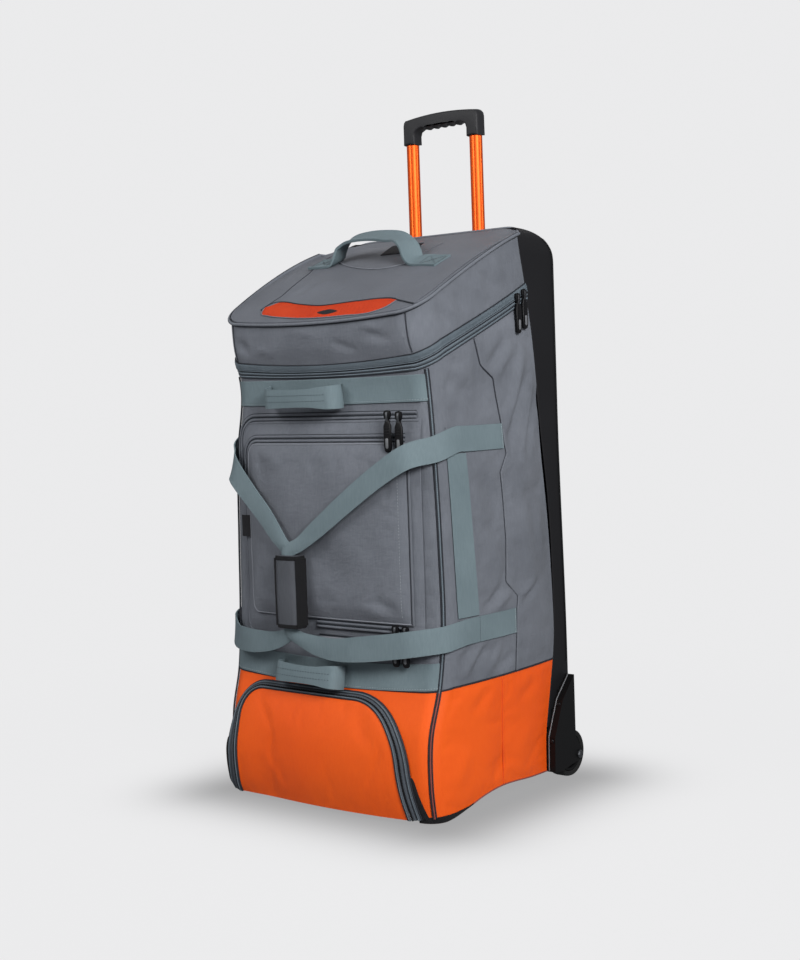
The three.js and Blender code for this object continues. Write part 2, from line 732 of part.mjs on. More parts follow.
// A zip slider with its long tab, drawn hanging from the origin
function pullShape() {
  const { head, headLength, tab, length } = PULL;
  return outlineShape([
    [-tab / 2, -length],
    [tab / 2, -length],
    [tab / 2, -headLength],
    [head / 2, -headLength],
    [head / 2, 0],
    [-head / 2, 0],
    [-head / 2, -headLength],
    [-tab / 2, -headLength],
  ]);
}

function addFrontPull(name, x, z, liftAt) {
  const heights = steps(12).map((t) => z - t * PULL.length);
  const edges = [x - PULL.head / 2, x, x + PULL.head / 2];
  const clear = Math.min(...heights.flatMap((h) => edges.map((e) => onPocket(e, h, liftAt(e, h)).y)));
  const pull = add(bag, name, onFront(slab(pullShape(), PULL.thick)), BLACK);
  pull.position.set(x, clear - GAP, z);
}
function zipLift(x, z) {
  return outerLift(x, z) + ZIP_SEAT + POCKET_ZIP.thick;
}

function overInner(x, z) {
  return z > INNER_POCKET.top ? zipLift(x, z) : innerLift(x, z);
}
addFrontPull('outer_pull_1', 138, 602, overInner);
addFrontPull('outer_pull_2', 157, 600, overInner);
addFrontPull('lower_pull_1', 138, 289, zipLift);
addFrontPull('lower_pull_2', 156, 289, zipLift);

function addLidPull(name, y) {
  const z = zipTopAt(sideRun(1, y, LID_ZIP.z)) + 2;
  const heights = steps(6).map((t) => z - t * PULL.length);
  const clear = Math.max(...heights.map((h) => skin(sideRun(1, y, h), h, 3).x));
  const pull = add(bag, name, onSide(slab(pullShape(), PULL.thick)), BLACK);
  pull.position.set(clear + GAP, y, z);
}
addLidPull('lid_zip_pull_1', 218);
addLidPull('lid_zip_pull_2', 236);

function addPocketLabel() {
  const { x, z, width, height, thick } = POCKET_LABEL;
  const grid = steps(2).map((b) => steps(2).map((t) => {
    const across = x + lerp(-width / 2, width / 2, t);
    const up = z + lerp(-height / 2, height / 2, b);
    return onPocket(across, up, outerLift(across, up) + GAP + thick);
  }));
  add(bag, 'pocket_label', wall(grid, thick), BLACK);
}
addPocketLabel();

// Webbing bands and grab loops

function bandHeight(band, u) {
  return band.z - band.sag * sagShare(u);
}

function addBand(name, band) {
  const end = CORNER_MIDDLE - 0.027;
  const runs = [-end, ...RUNS.filter((u) => Math.abs(u) < end), end];
  const grid = [-0.5, 0, 0.5].map((f) => {
    return runs.map((u) => skin(u, bandHeight(band, u) + f * WEBBING_WIDTH, GAP + WEBBING));
  });
  add(bag, name, wall(grid, WEBBING), WEB_GREY);
}
addBand('upper_band', UPPER_BAND);
addBand('lower_band', LOWER_BAND);

function addGrab(name, band) {
  const profile = [
    { t: 0, out: 0 },
    { t: 0.07, out: 0.04 },
    { t: 0.14, out: 0.55 },
    { t: 0.25, out: 0.95 },
    { t: 0.5, out: 1 },
    { t: 0.75, out: 0.95 },
    { t: 0.86, out: 0.55 },
    { t: 0.93, out: 0.04 },
    { t: 1, out: 0 },
  ];
  const base = GAP + WEBBING + ZIP_SEAT + GRAB.thick;
  const stations = profile.map(({ t, out }) => {
    const x = lerp(band.loopFrom, band.loopTo, t);
    const z = bandHeight(band, frontRun(x, band.z)) - band.loopDrop * out;
    const turn = (t < 0.2 && t > 0.1) || (t < 0.9 && t > 0.8) ? Math.sign(t - 0.5) : 0;
    return {
      at: onPocket(x, z, base + GRAB.reach * out),
      normal: bodyNormal(frontRun(x, z), z).addScaledVector(X_AXIS, turn).normalize(),
      width: GRAB.width,
    };
  });
  add(bag, name, ribbon(stations, 20, GRAB.thick), WEB_GREY);
}
addGrab('upper_grab', UPPER_BAND);
addGrab('lower_grab', LOWER_BAND);

// Carrying straps, with their sewn ends on the sides, and the wrap round both

function sideStation(side, y, z, lift) {
  const u = sideRun(side, y, z);
  return { at: skin(u, z, lift), normal: bodyNormal(u, z), width: WEBBING_WIDTH };
}

function sewnStations(side, z, end) {
  return STRAP_SEWN.map(({ y, lift }) => sideStation(side, Math.min(y, end), z, GAP + WEBBING + lift));
}

function cornerStation(side, share, z, lift) {
  const u = side * lerp(FRONT_SHARE, CORNER_SHARE, share);
  return { at: skin(u, z, lift), normal: bodyNormal(u, z), width: WEBBING_WIDTH };
}

function freeStation({ x, y, z, width }) {
  return { at: point(x, y, z), normal: FRONT_FACING.clone(), width };
}

function addStrap(name, side, upper, lower, depth, cornerLifts) {
  const inWrap = [GRIP_WRAP.top + 4, GRIP_WRAP.top - 12, GRIP_WRAP.bottom + 12, GRIP_WRAP.bottom - 4];
  const stations = [
    ...sewnStations(side, STRAP_SIDE.upper, STRAP_SIDE.upperEnd),
    cornerStation(side, 0.75, lerp(STRAP_SIDE.upper, upper[0].z, 0.35), 7),
    cornerStation(side, 0.5, lerp(STRAP_SIDE.upper, upper[0].z, 0.6), cornerLifts.upper),
    ...upper.map(freeStation),
    ...inWrap.map((z) => freeStation({ x: GRIP_WRAP.x, y: depth, z, width: GATHERED })),
    ...lower.map(freeStation),
    cornerStation(side, 0.5, lerp(STRAP_SIDE.lower, lower.at(-1).z, 0.6), cornerLifts.lower),
    cornerStation(side, 0.75, lerp(STRAP_SIDE.lower, lower.at(-1).z, 0.35), cornerLifts.lower - 3),
    ...sewnStations(side, STRAP_SIDE.lower, STRAP_SIDE.lowerEnd).reverse(),
  ];
  add(bag, name, ribbon(stations, 50, WEBBING), WEB_GREY);
}
const INNER_STRAP = GRIP_WRAP.y + STRAP_OFFSET - WEBBING / 2;
const OUTER_STRAP = GRIP_WRAP.y - STRAP_OFFSET - WEBBING / 2;
addStrap('strap_left', -1, LEFT_UPPER, LEFT_LOWER, INNER_STRAP, { upper: 8, lower: 10 });
addStrap('strap_right', 1, RIGHT_UPPER, RIGHT_LOWER, OUTER_STRAP, { upper: 9, lower: 9 });

function addGripWrap() {
  const { width, depth, bore, slot, x, y, bottom, top } = GRIP_WRAP;
  const shape = roundedRectangle(-width / 2, -depth / 2, width / 2, depth / 2, 12);
  shape.holes.push(roundedRectangle(-bore / 2, -slot / 2, bore / 2, slot / 2, 1));
  add(bag, 'grip_wrap', slab(shape, top - bottom, 0, 2), DARK_GREY).position.set(x, y, bottom);
}
addGripWrap();

// Upright webbing on each side, between the sewn strap ends
function addSideWebbing(name, side) {
  const top = STRAP_SIDE.upper - WEBBING_WIDTH / 2 - 2;
  const bottom = STRAP_SIDE.lower + WEBBING_WIDTH / 2 + 2;
  const grid = steps(5).map((t) => [0, 0.25, 0.5, 1].map((f) => {
    const z = lerp(bottom, top, t);
    const y = lerp(SIDE_WEBBING.low, SIDE_WEBBING.high, t) + SIDE_WEBBING.width * (side > 0 ? f : 1 - f);
    return skin(sideRun(side, y, z), z, GAP + WEBBING);
  }));
  add(bag, name, wall(grid, WEBBING), WEB_GREY);
}
addSideWebbing('side_webbing_left', -1);
addSideWebbing('side_webbing_right', 1);

// Double piping on a flat strip along each front corner
function addCornerPiping(name, side) {
  const { stripWidth, stripHigh } = PIPING;
  const section = [
    [-stripWidth / 2, 0],
    [stripWidth / 2, 0],
    [stripWidth * 0.36, stripHigh],
    [stripWidth * 0.14, stripHigh],
    [0, stripHigh * 0.4],
    [-stripWidth * 0.14, stripHigh],
    [-stripWidth * 0.36, stripHigh],
  ];
  const u = side * CORNER_MIDDLE;
  const stations = steps(14).map((t) => {
    const z = lerp(PIPING.foot, zipBottomAt(u) - 3, t);
    return { at: skin(u, z, GAP + 1.2), normal: bodyNormal(u, z) };
  });
  add(bag, name, sweep(stations, section), DARK_GREY);
}
addCornerPiping('corner_piping_left', -1);
addCornerPiping('corner_piping_right', 1);

// Moulded back: a tray, open to the front, whose top rolls forwards over rounded corners

function arcDrop(radius, past) {
  return radius - Math.sqrt(Math.max(0, radius ** 2 - Math.max(0, past) ** 2));
}

function backOutline(z) {
  const lean = BACK.lean * (1 - THREE.MathUtils.smoothstep(z, 200, 600));
  const rear = BACK.rear + lean - arcDrop(BACK_ROLL.radius, z - (BACK.top - BACK_ROLL.radius));
  const half = BACK_HALF - arcDrop(BACK_ROLL.cap, z - (BACK.top - BACK_ROLL.cap));
  const crest = THREE.MathUtils.smoothstep(z, 852, BACK.top);
  const edge = lerp(rearEdgeAt(z) + BACK_GAP, BACK.rear - BACK_ROLL.radius - 2, crest);
  const corner = Math.min(BACK.corner, (rear - edge) * 0.8);
  const flank = [0, 0.5].map((t) => [half, lerp(edge, rear - corner, t)]);
  const turn = steps(3).map((t) => {
    const angle = t * Math.PI / 2;
    return [half - corner * (1 - Math.cos(angle)), rear - corner * (1 - Math.sin(angle))];
  });
  const right = [...flank, ...turn];
  const left = right.map(([x, y]) => [-x, y]).reverse();
  return [...right, [0, rear], ...left].map(([x, y]) => point(x, y, z));
}

function housingProfile(grow = 0) {
  const middle = { y: 315, z: 85 };
  return outlineShape(HOUSING_SIDE.map(({ y, z }) => {
    const out = new THREE.Vector2(y - middle.y, z - middle.z);
    const grown = out.setLength(out.length() + grow);
    return [middle.y + grown.x, middle.z + grown.y];
  }));
}

function housingBlock(side, from, to, grow) {
  const block = onSide(slab(housingProfile(grow), to - from));
  return block.translate(side > 0 ? from : -to, 0, 0);
}

function wheelWell(side, from, to, radius) {
  const circle = steps(20).slice(1).map((t) => {
    const angle = t * Math.PI * 2;
    return [WHEEL.y + radius * Math.cos(angle), WHEEL.z + radius * Math.sin(angle)];
  });
  return onSide(slab(outlineShape(circle), to - from)).translate(side > 0 ? from : -to, 0, 0);
}

function tubeWay(side) {
  const way = new THREE.CylinderGeometry(GUIDE.bore, GUIDE.bore, 90, 12).rotateX(Math.PI / 2);
  return way.translate(side * HANDLE.x, HANDLE.y, BACK.top);
}

function addBackPanel() {
  const shoulder = BACK.top - BACK_ROLL.radius;
  const straight = REAR_EDGE.map(({ z }) => z).filter((z) => z > BACK.bottom && z < shoulder);
  const roll = steps(5).slice(1).map((t) => {
    const angle = t * BACK_ROLL.turn * Math.PI / 2;
    return shoulder + BACK_ROLL.radius * Math.sin(angle);
  });
  const tray = wall([BACK.bottom, ...straight, shoulder, ...roll].map(backOutline), MOULDED_WALL);
  const clears = [-1, 1].flatMap((side) => [
    housingBlock(side, HOUSING.inner - 0.6, HOUSING.outer + 10, 0.8),
    wheelWell(side, HOUSING.inner - 0.6, HOUSING.outer + 10, HOUSING.wellRadius + 0.8),
    tubeWay(side),
  ]);
  add(bag, 'back_panel', cut(tray, ...clears), BLACK);
}
addBackPanel();

function addHandleBezel() {
  const centre = { y: BACK.rear - BACK_ROLL.radius, z: BACK.top - BACK_ROLL.radius };
  const inside = BACK_ROLL.radius + 0.6;
  const outside = inside + BEZEL.thick;
  const arc = (radius) => steps(4).map((t) => {
    const angle = THREE.MathUtils.degToRad(lerp(90 - BEZEL.from, 90 - BEZEL.to, t));
    return [centre.y + radius * Math.cos(angle), centre.z + radius * Math.sin(angle)];
  });
  const shape = outlineShape([...arc(inside), ...arc(outside).reverse()]);
  const plate = onSide(slab(shape, 2 * BEZEL.half)).translate(-BEZEL.half, 0, 0);
  add(bag, 'handle_bezel', cut(plate, tubeWay(-1), tubeWay(1)), BLACK);
}
addHandleBezel();

// Floor and feet

function addFloor() {
  const arc = steps(4).map((t) => {
    const angle = t * Math.PI / 2;
    const x = FLOOR.half - FLOOR.corner * (1 - Math.sin(angle));
    return [x, FLOOR.front + FLOOR.corner * (1 - Math.cos(angle))];
  });
  const right = [
    ...arc,
    [FLOOR.half, FLOOR.step],
    [FLOOR.rearHalf, FLOOR.step],
    [FLOOR.rearHalf, FLOOR.rear],
  ];
  const left = right.map(([x, y]) => [-x, y]).reverse();
  add(bag, 'base_panel', slab(outlineShape([...right, ...left]), FLOOR.thick), BLACK).position.z = FLOOR.z;
  for (const [name, side] of [['base_foot_left', -1], ['base_foot_right', 1]]) {
    const { length, width, corner } = FOOT;
    const pad = slab(roundedRectangle(-width / 2, -length / 2, width / 2, length / 2, corner), FLOOR.z - 0.3);
    add(bag, name, pad, BLACK).position.set(side * FOOT.x, FOOT.y, 0);
  }
}
addFloor();

// Wheels, housings and axles

function turned(profile, segments) {
  const points = profile.map(([radius, x]) => new THREE.Vector2(radius, x));
  return new THREE.LatheGeometry(points, segments).rotateZ(-Math.PI / 2);
}

function addWheel(label, side) {
  const { y, z, radius, width, rim, hubWidth, middle, bore } = WHEEL;
  const far = width / 2;
  const hubSide = hubWidth / 2;
  const well = wheelWell(side, HOUSING.wellInner, HOUSING.wellOuter, HOUSING.wellRadius);
  const hole = new THREE.CylinderGeometry(AXLE.radius + 0.4, AXLE.radius + 0.4, 120, 12).rotateZ(Math.PI / 2);
  hole.translate(side * middle, y, z);
  const housing = housingBlock(side, HOUSING.inner, HOUSING.outer, 0);
  add(bag, `wheel_housing_${label}`, cut(housing, well, hole), BLACK);

  const end = HOUSING.outer + 0.3;
  const axle = turned([
    [0, HOUSING.inner + 1],
    [AXLE.radius, HOUSING.inner + 1],
    [AXLE.radius, end],
    [AXLE.head, end],
    [AXLE.head, end + AXLE.headThick * 0.6],
    [AXLE.head * 0.7, end + AXLE.headThick],
    [0, end + AXLE.headThick],
  ], 8);
  const pin = add(bag, `axle_${label}`, axle, STEEL);
  pin.position.set(0, y, z);
  if (side < 0) pin.rotation.z = Math.PI;

  const wheel = new THREE.Group();
  wheel.position.set(side * middle, y, z);
  bag.add(wheel);
  const hub = turned([
    [bore, -hubSide],
    [24, -hubSide],
    [rim, -hubSide],
    [rim, hubSide],
    [25, hubSide],
    [23, hubSide - 6],
    [12, hubSide - 6],
    [10, hubSide],
    [bore, hubSide],
    [bore, -hubSide],
  ], 16);
  add(wheel, `wheel_hub_${label}`, hub, BLACK);
  const seat = rim + 0.3;
  const tyre = turned([
    [seat, -hubSide],
    [radius - 3, -far],
    [radius, -far + 6],
    [radius, far - 6],
    [radius - 3, far],
    [seat, hubSide],
    [seat, -hubSide],
  ], 16);
  add(wheel, `tyre_${label}`, tyre, RUBBER);
}
addWheel('left', -1);
addWheel('right', 1);

// Pull handle and the fixed tubes that it slides in

function circlePath(radius, sides) {
  return outlineShape(roundSection(radius, sides));
}

function addHandleTube(label, side) {
  const flutes = steps(24).slice(1).map((t, k) => {
    const radius = HANDLE.tube - (k % 4 === 0 ? HANDLE.flute : 0);
    return [radius * Math.cos(t * Math.PI * 2), radius * Math.sin(t * Math.PI * 2)];
  });
  const tube = slab(outlineShape(flutes), HANDLE.joint - 0.3 - HANDLE.foot);
  add(handle, `handle_tube_${label}`, tube, TUBE_ORANGE).position.set(side * HANDLE.x, HANDLE.y, HANDLE.foot);
  const sleeve = circlePath(GUIDE.outside, 12);
  sleeve.holes.push(circlePath(GUIDE.bore, 12));
  const guide = slab(sleeve, GUIDE.top - GUIDE.bottom);
  add(bag, `guide_tube_${label}`, guide, STEEL).position.set(side * HANDLE.x, HANDLE.y, GUIDE.bottom);
}
addHandleTube('left', -1);
addHandleTube('right', 1);

function addHandleGrip() {
  const { half, leg, under, depth, bevel, fingers } = HANDLE_GRIP;
  const inner = half - leg;
  const crest = steps(8).map((t) => {
    const x = lerp(half - 4, -half + 4, t);
    return [x, HANDLE.top + HANDLE.arch * (1 - (x / half) ** 2)];
  });
  const grooves = steps(fingers * 3).map((t) => {
    const x = lerp(-inner + 5, inner - 5, t);
    return [x, under + 2.4 * Math.abs(Math.sin(t * fingers * Math.PI))];
  });
  const outline = [
    [inner, HANDLE.joint],
    [half, HANDLE.joint],
    [half, HANDLE.top - 6],
    ...crest,
    [-half, HANDLE.top - 6],
    [-half, HANDLE.joint],
    [-inner, HANDLE.joint],
    [-inner, under - 4],
    ...grooves,
    [inner, under - 4],
  ];
  const grip = onFront(slab(outlineShape(outline), depth, bevel));
  add(handle, 'handle_grip', grip, BLACK).position.y = HANDLE.y + depth / 2;
}
addHandleGrip();

// The origin lies on the floor under the middle of the bag's box
const part = new THREE.Group();
part.add(bag);
part.updateMatrixWorld(true);
const box = new THREE.Box3().setFromObject(part, true);
bag.position.set(-(box.min.x + box.max.x) / 2, -(box.min.y + box.max.y) / 2, -box.min.z);

export default part;
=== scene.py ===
# %% [markdown]
# A tall wheeled gear bag: a grey fabric body with an orange boot compartment, a sloping zipped lid,
# front pockets, webbing straps, a moulded black back, two wheels and a pull handle on orange tubes.
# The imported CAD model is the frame. Every soft piece here stands for a CAD solid and lies where it lies.

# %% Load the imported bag
import math
import bpy
import numpy as np
from mathutils import Matrix, Vector


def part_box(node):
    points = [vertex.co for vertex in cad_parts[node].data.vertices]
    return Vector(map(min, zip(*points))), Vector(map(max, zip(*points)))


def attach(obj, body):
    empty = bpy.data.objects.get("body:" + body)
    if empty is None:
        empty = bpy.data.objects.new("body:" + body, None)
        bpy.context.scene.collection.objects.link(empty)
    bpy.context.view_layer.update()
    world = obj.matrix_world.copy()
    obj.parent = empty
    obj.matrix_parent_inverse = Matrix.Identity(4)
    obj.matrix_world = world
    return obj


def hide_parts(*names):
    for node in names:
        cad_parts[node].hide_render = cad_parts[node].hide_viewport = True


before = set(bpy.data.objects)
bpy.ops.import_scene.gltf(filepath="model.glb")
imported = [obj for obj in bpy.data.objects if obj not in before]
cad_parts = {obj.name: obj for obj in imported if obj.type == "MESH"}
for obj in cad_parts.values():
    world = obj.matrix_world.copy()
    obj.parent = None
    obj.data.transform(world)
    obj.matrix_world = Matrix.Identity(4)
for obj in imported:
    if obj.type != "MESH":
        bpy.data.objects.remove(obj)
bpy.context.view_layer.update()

# %% [markdown]
# The bag was drawn in millimetres from the middle of its front. Packing moved it back to the middle of its
# box, so one shift along Y, read from a handle tube, brings drawn millimetres to the frame's metres.

# %% Millimetres of the drawing to metres of the frame
MM = 0.001
TUBE_X, TUBE_Y = 65.4, 321.5
tube_low, tube_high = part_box("handle_tube_left")
SHIFT = (tube_low.y + tube_high.y) / 2 / MM - TUBE_Y


def in_frame(points):
    return (np.asarray(points, float) + (0, SHIFT, 0)) * MM


print("drawing moved along Y by", round(SHIFT, 2), "mm")

# %% [markdown]
# The camera stands to the right of the front, a little above the middle, and is rolled slightly. Its place
# comes from fitting the bag's upright edges, its width and its depth to the picture.

# %% Camera
FOCAL_PIXELS, PICTURE_HEIGHT, SENSOR = 1556.19, 960, 36
CAMERA_PLACE, CAMERA_ANGLES = (1577.86, -1734.4, 634.31), (39.53, 3.41, -2.0)
yaw, pitch, roll = (math.radians(a) for a in CAMERA_ANGLES)
level_right = np.array((math.cos(yaw), math.sin(yaw), 0))
level_ahead = np.array((-math.sin(yaw), math.cos(yaw), 0))
upright = np.array((0, 0, 1.0))
ahead = math.cos(pitch) * level_ahead - math.sin(pitch) * upright
tilted_up = math.sin(pitch) * level_ahead + math.cos(pitch) * upright
view_right = math.cos(roll) * level_right + math.sin(roll) * tilted_up
view_up = math.cos(roll) * tilted_up - math.sin(roll) * level_right
camera = bpy.data.objects.new("camera", bpy.data.cameras.new("camera"))
camera.data.sensor_width = SENSOR
camera.data.lens = FOCAL_PIXELS * SENSOR / PICTURE_HEIGHT
facing = Matrix(np.column_stack((view_right, view_up, -ahead)).tolist()).to_4x4()
camera.matrix_world = Matrix.Translation(in_frame(CAMERA_PLACE)) @ facing
bpy.context.scene.collection.objects.link(camera)
bpy.context.scene.camera = camera
bpy.context.scene.view_settings.view_transform = "Standard"
print("lens", round(camera.data.lens, 2), "mm")

# %% [markdown]
# Shader maths reads best as plain arithmetic. A Signal wraps one socket, and its operators add Math nodes.
# A Finish is one material: its node method makes any node from its type, settings and socket values.


# %% Shader helpers
class Signal:
    def __init__(self, finish, socket):
        self.finish, self.socket = finish, socket

    def math(self, operation, *values):
        return self.finish.node("ShaderNodeMath", {"operation": operation}, dict(enumerate(values)))

    def __add__(self, other):
        return self.math("ADD", self, other)

    def __sub__(self, other):
        return self.math("SUBTRACT", self, other)

    def __rsub__(self, other):
        return self.math("SUBTRACT", other, self)

    def __mul__(self, other):
        return self.math("MULTIPLY", self, other)

    def __pow__(self, other):
        return self.math("POWER", self, other)

    def wave(self, pitch):
        angle = self * (2 * math.pi / pitch)
        return angle.math("SINE", angle)

    __radd__, __rmul__ = __add__, __mul__


class Finish:
    def __init__(self, name, roughness, **fixed):
        self.material = bpy.data.materials.new(name)
        self.material.use_nodes = True
        self.tree = self.material.node_tree
        self.shader = self.tree.nodes["Principled BSDF"]
        self.shader.inputs["Roughness"].default_value = roughness
        for socket, value in fixed.items():
            self.shader.inputs[socket.replace("_", " ")].default_value = value

    def node(self, kind, settings=None, sockets=None, output=0):
        made = self.tree.nodes.new(kind)
        for key, value in (settings or {}).items():
            setattr(made, key, value)
        for key, value in (sockets or {}).items():
            if isinstance(value, Signal):
                self.tree.links.new(value.socket, made.inputs[key])
            else:
                made.inputs[key].default_value = value
        return Signal(self, made.outputs[output])

    def place(self):
        return self.node("ShaderNodeTexCoord", output="Object")

    def cloth(self):
        laid = self.node("ShaderNodeAttribute", {"attribute_name": "cloth"}, output="Vector")
        return [self.node("ShaderNodeSeparateXYZ", sockets={0: laid}, output=k) for k in (0, 1)]

    def noise(self, scale, detail=3.0, stretch=(1, 1, 1)):
        spot = self.node("ShaderNodeVectorMath", {"operation": "MULTIPLY"}, {0: self.place(), 1: stretch})
        return self.node("ShaderNodeTexNoise", sockets={"Vector": spot, "Scale": scale, "Detail": detail})

    def mix(self, share, first, second):
        return self.node("ShaderNodeMix", {"data_type": "RGBA"}, {0: share, 6: first, 7: second}, 2)

    def feed(self, socket, signal):
        self.tree.links.new(signal.socket, self.shader.inputs[socket])

    def colour(self, share, dark, light):
        self.feed("Base Color", self.mix(share, paint(*dark), paint(*light)))

    def relief(self, height, strength, depth):
        self.feed("Normal", self.node("ShaderNodeBump", sockets={
            "Strength": strength, "Distance": depth, "Height": height}))


def paint(red, green, blue, shade=1.0):
    """An sRGB colour, 0 to 255, as linear RGBA."""
    parts = [c / 255 for c in (red, green, blue)]
    return tuple(shade * (c / 12.92 if c <= 0.04045 else ((c + 0.055) / 1.055) ** 2.4) for c in parts) + (1.0,)


print("mid grey as linear light:", round(paint(128, 128, 128)[0], 3))

# %% [markdown]
# The body cloth is a plain-woven polyester with a soft sheen. Each thread is a sine wave across the other
# thread's wave, laid out in millimetres by the "cloth" attribute of the mesh, so the weave follows the cut
# panel. A slow noise adds the uneven dye and the rubbed look of a used bag.


# %% Woven finishes
def woven(name, dark, light, thread, roughness, relief, mottle=9.0, sheen=0.0, rib=0.0, rumple=0.0):
    finish = Finish(name, roughness, Sheen_Weight=sheen, Sheen_Roughness=0.6, Specular_IOR_Level=0.3)
    along, across = finish.cloth()
    weave = along.wave(thread) * across.wave(thread)
    if rib:
        weave = weave * (1 - rib) + rib * across.wave(2.2 * thread)
    dye = finish.noise(mottle) * 1.3 - 0.15
    slub = finish.noise(420, 2.0, (1, 1, 0.16))
    finish.colour(dye * 0.6 + slub * 0.4 + weave * 0.16, dark, light)
    finish.feed("Roughness", roughness - 0.08 + dye * 0.16)
    folds = finish.noise(26, 2.5) + finish.noise(85, 2.0, (1, 1, 2.4)) * 0.35
    finish.relief(weave * 0.5 + slub * 0.7 + folds * rumple, relief, 0.0006)
    return finish.material


GREY_CLOTH = woven("grey cloth", (74, 78, 85), (113, 117, 125), 1.1, 0.66, 0.5, 12, sheen=0.04, rumple=8)
# The lid's cloth is the grey cloth made darker: painted shade on the lid's upward-facing top.
SHADED_LID_CLOTH = woven("grey cloth, painted lid shade", (67, 70, 77), (101, 105, 113), 1.1, 0.66, 0.5, 12, sheen=0.04, rumple=8)
LIGHT_CLOTH = woven("light grey welt", (98, 101, 108), (130, 133, 140), 1.1, 0.7, 0.35)
ORANGE_CLOTH = woven("orange coated cloth", (212, 68, 5), (229, 93, 10), 1.3, 0.6, 0.3, 4, rumple=3)
ORANGE_SEAM = woven("orange seam", (196, 56, 8), (218, 74, 14), 1.0, 0.6, 0.3, 12)
PIPING_CORE = woven("dull red piping core", (104, 50, 44), (140, 74, 66), 1.0, 0.6, 0.3, 12)
WEBBING = woven("blue-grey webbing", (82, 96, 101), (112, 127, 132), 0.9, 0.72, 0.4, 11, rib=0.3, rumple=2)
KNIT_TAPE = woven("blue-grey knit tape", (70, 79, 86), (108, 119, 127), 1.3, 0.75, 0.7, 10, rib=0.6)
ZIP_TAPE = woven("grey zip tape", (50, 55, 61), (80, 86, 93), 1.0, 0.75, 0.5, 16, rib=0.5)
DARK_PIPING = woven("dark piping", (20, 22, 28), (40, 43, 50), 1.0, 0.6, 0.4, 20, rib=0.3)
BLACK_BINDING = woven("black loop binding", (10, 10, 12), (24, 24, 27), 1.2, 0.9, 0.9, 30)
LABEL_WEAVE = woven("black woven label", (12, 12, 15), (28, 28, 32), 0.7, 0.7, 0.4, 30, rib=0.5)
WRAP_CLOTH = woven("dark grey wrap cloth", (52, 54, 59), (84, 87, 93), 1.1, 0.66, 0.5, 12, rumple=4)
PALE_THREAD = woven("pale thread", (126, 134, 139), (160, 168, 172), 0.6, 0.6, 0.3)
# Dark thread also makes the dark cord along each upright side seam, where it paints the shade in the seam's step.
DARK_THREAD_AND_SEAM_SHADE = woven("dark thread and painted seam shade", (26, 28, 34), (48, 51, 58), 0.6, 0.6, 0.3)
print("woven finishes:", len(bpy.data.materials))

# %% [markdown]
# The vent is an open mesh: round holes between knitted orange strands. The holes are dark and sunk, in rows
# that stand half a step apart, and the same pattern drives colour and relief.


# %% Vent mesh
def vent_mesh(pitch=2.6):
    finish = Finish("orange vent mesh", 0.75, Specular_IOR_Level=0.2)
    along, across = finish.cloth()
    holes = (along.wave(pitch) * across.wave(pitch * 1.2)) * 0.5 + 0.5
    dye = finish.noise(14)
    strand = finish.mix(dye, paint(176, 44, 12), paint(204, 68, 24))
    finish.feed("Base Color", finish.mix(holes ** 4 * 0.8, strand, paint(110, 32, 14)))
    finish.relief(1 - holes, 0.8, 0.0008)
    return finish.material


VENT_MESH = vent_mesh()
print("vent mesh nodes:", len(VENT_MESH.node_tree.nodes))

# %% [markdown]
# Hard parts: moulded black plastic has a fine leather grain and a duller sheen where it is rubbed; the tubes
# are orange anodised aluminium with drawing lines along them; the tyre is dusty rubber.


# %% Hard finishes
def moulded(name, dark, light, grain, roughness, relief, shine=0.5):
    finish = Finish(name, roughness, Specular_IOR_Level=shine)
    pits, rub = finish.noise(grain, 4.0), finish.noise(11, 4.0)
    finish.colour(rub * 0.7 + pits * 0.3, dark, light)
    finish.feed("Roughness", roughness - 0.1 + rub * 0.2)
    finish.relief(pits, relief, 0.0007)
    return finish.material


def drawn_metal(name, dark, light, roughness, metallic):
    finish = Finish(name, roughness, Metallic=metallic)
    lines, cloud = finish.noise(900, 2.0, (1, 1, 0.01)), finish.noise(16)
    finish.colour(lines * 0.5 + cloud * 0.5, dark, light)
    finish.feed("Roughness", roughness - 0.06 + lines * 0.12)
    finish.relief(lines, 0.12, 0.0002)
    return finish.material


BLACK_PANEL = moulded("black moulded panel", (11, 11, 13), (22, 22, 25), 620, 0.62, 0.3, 0.22)
BLACK_PLASTIC = moulded("black plastic", (6, 6, 7), (14, 14, 15), 380, 0.55, 0.2, 0.16)
# A pale plastic only for painted highlights: the line along each wheel housing's edge and the bar on each zip tab.
HIGHLIGHT_PLASTIC = moulded("pale plastic, painted highlight", (70, 72, 75), (112, 114, 117), 300, 0.5, 0.3)
GRIP_PLASTIC = moulded("soft grip plastic", (18, 18, 20), (36, 36, 39), 900, 0.55, 0.3, 0.35)
TYRE_RUBBER = moulded("tyre rubber", (13, 13, 14), (30, 30, 30), 260, 0.85, 0.4, 0.25)
PULL_PLASTIC = moulded("zip pull plastic", (6, 6, 8), (16, 16, 18), 500, 0.42, 0.15, 0.16)
ORANGE_TUBE = drawn_metal("orange anodised tube", (196, 62, 4), (228, 98, 18), 0.45, 0.7)
STEEL = drawn_metal("dull steel", (62, 64, 67), (98, 100, 103), 0.5, 1.0)
print("finishes in all:", len(bpy.data.materials))

# %% [markdown]
# The studio is one pale sheet: a round floor that bends up into a wall all the way round, so that no view
# meets an edge. The paper gives off its own even light, with a soft shadow drawn round the bag's footprint, and
# only near the bag does it reflect a little. Soft lights stand to the right, in front, overhead and behind.

# %% Studio
FLOOR_RADIUS, WALL_RADIUS, WALL_RISE = 3.6, 5.4, 4.2
PAPER, BLACK, REFLECTS = (235, 235, 236), (0, 0, 0, 1), (0.03, 0.03, 0.03, 1)
NEAR, FAR, NEAR_DIM = 0.2, 1.2, 0.965
FOOTPRINT, SHADOW_REACH, SHADOW_DEPTH = (0.2, 0.165, 0), 0.121, 0.54
SKY_COLOUR, SKY_STRENGTH = (0.95, 0.96, 1.0, 1.0), 0.3


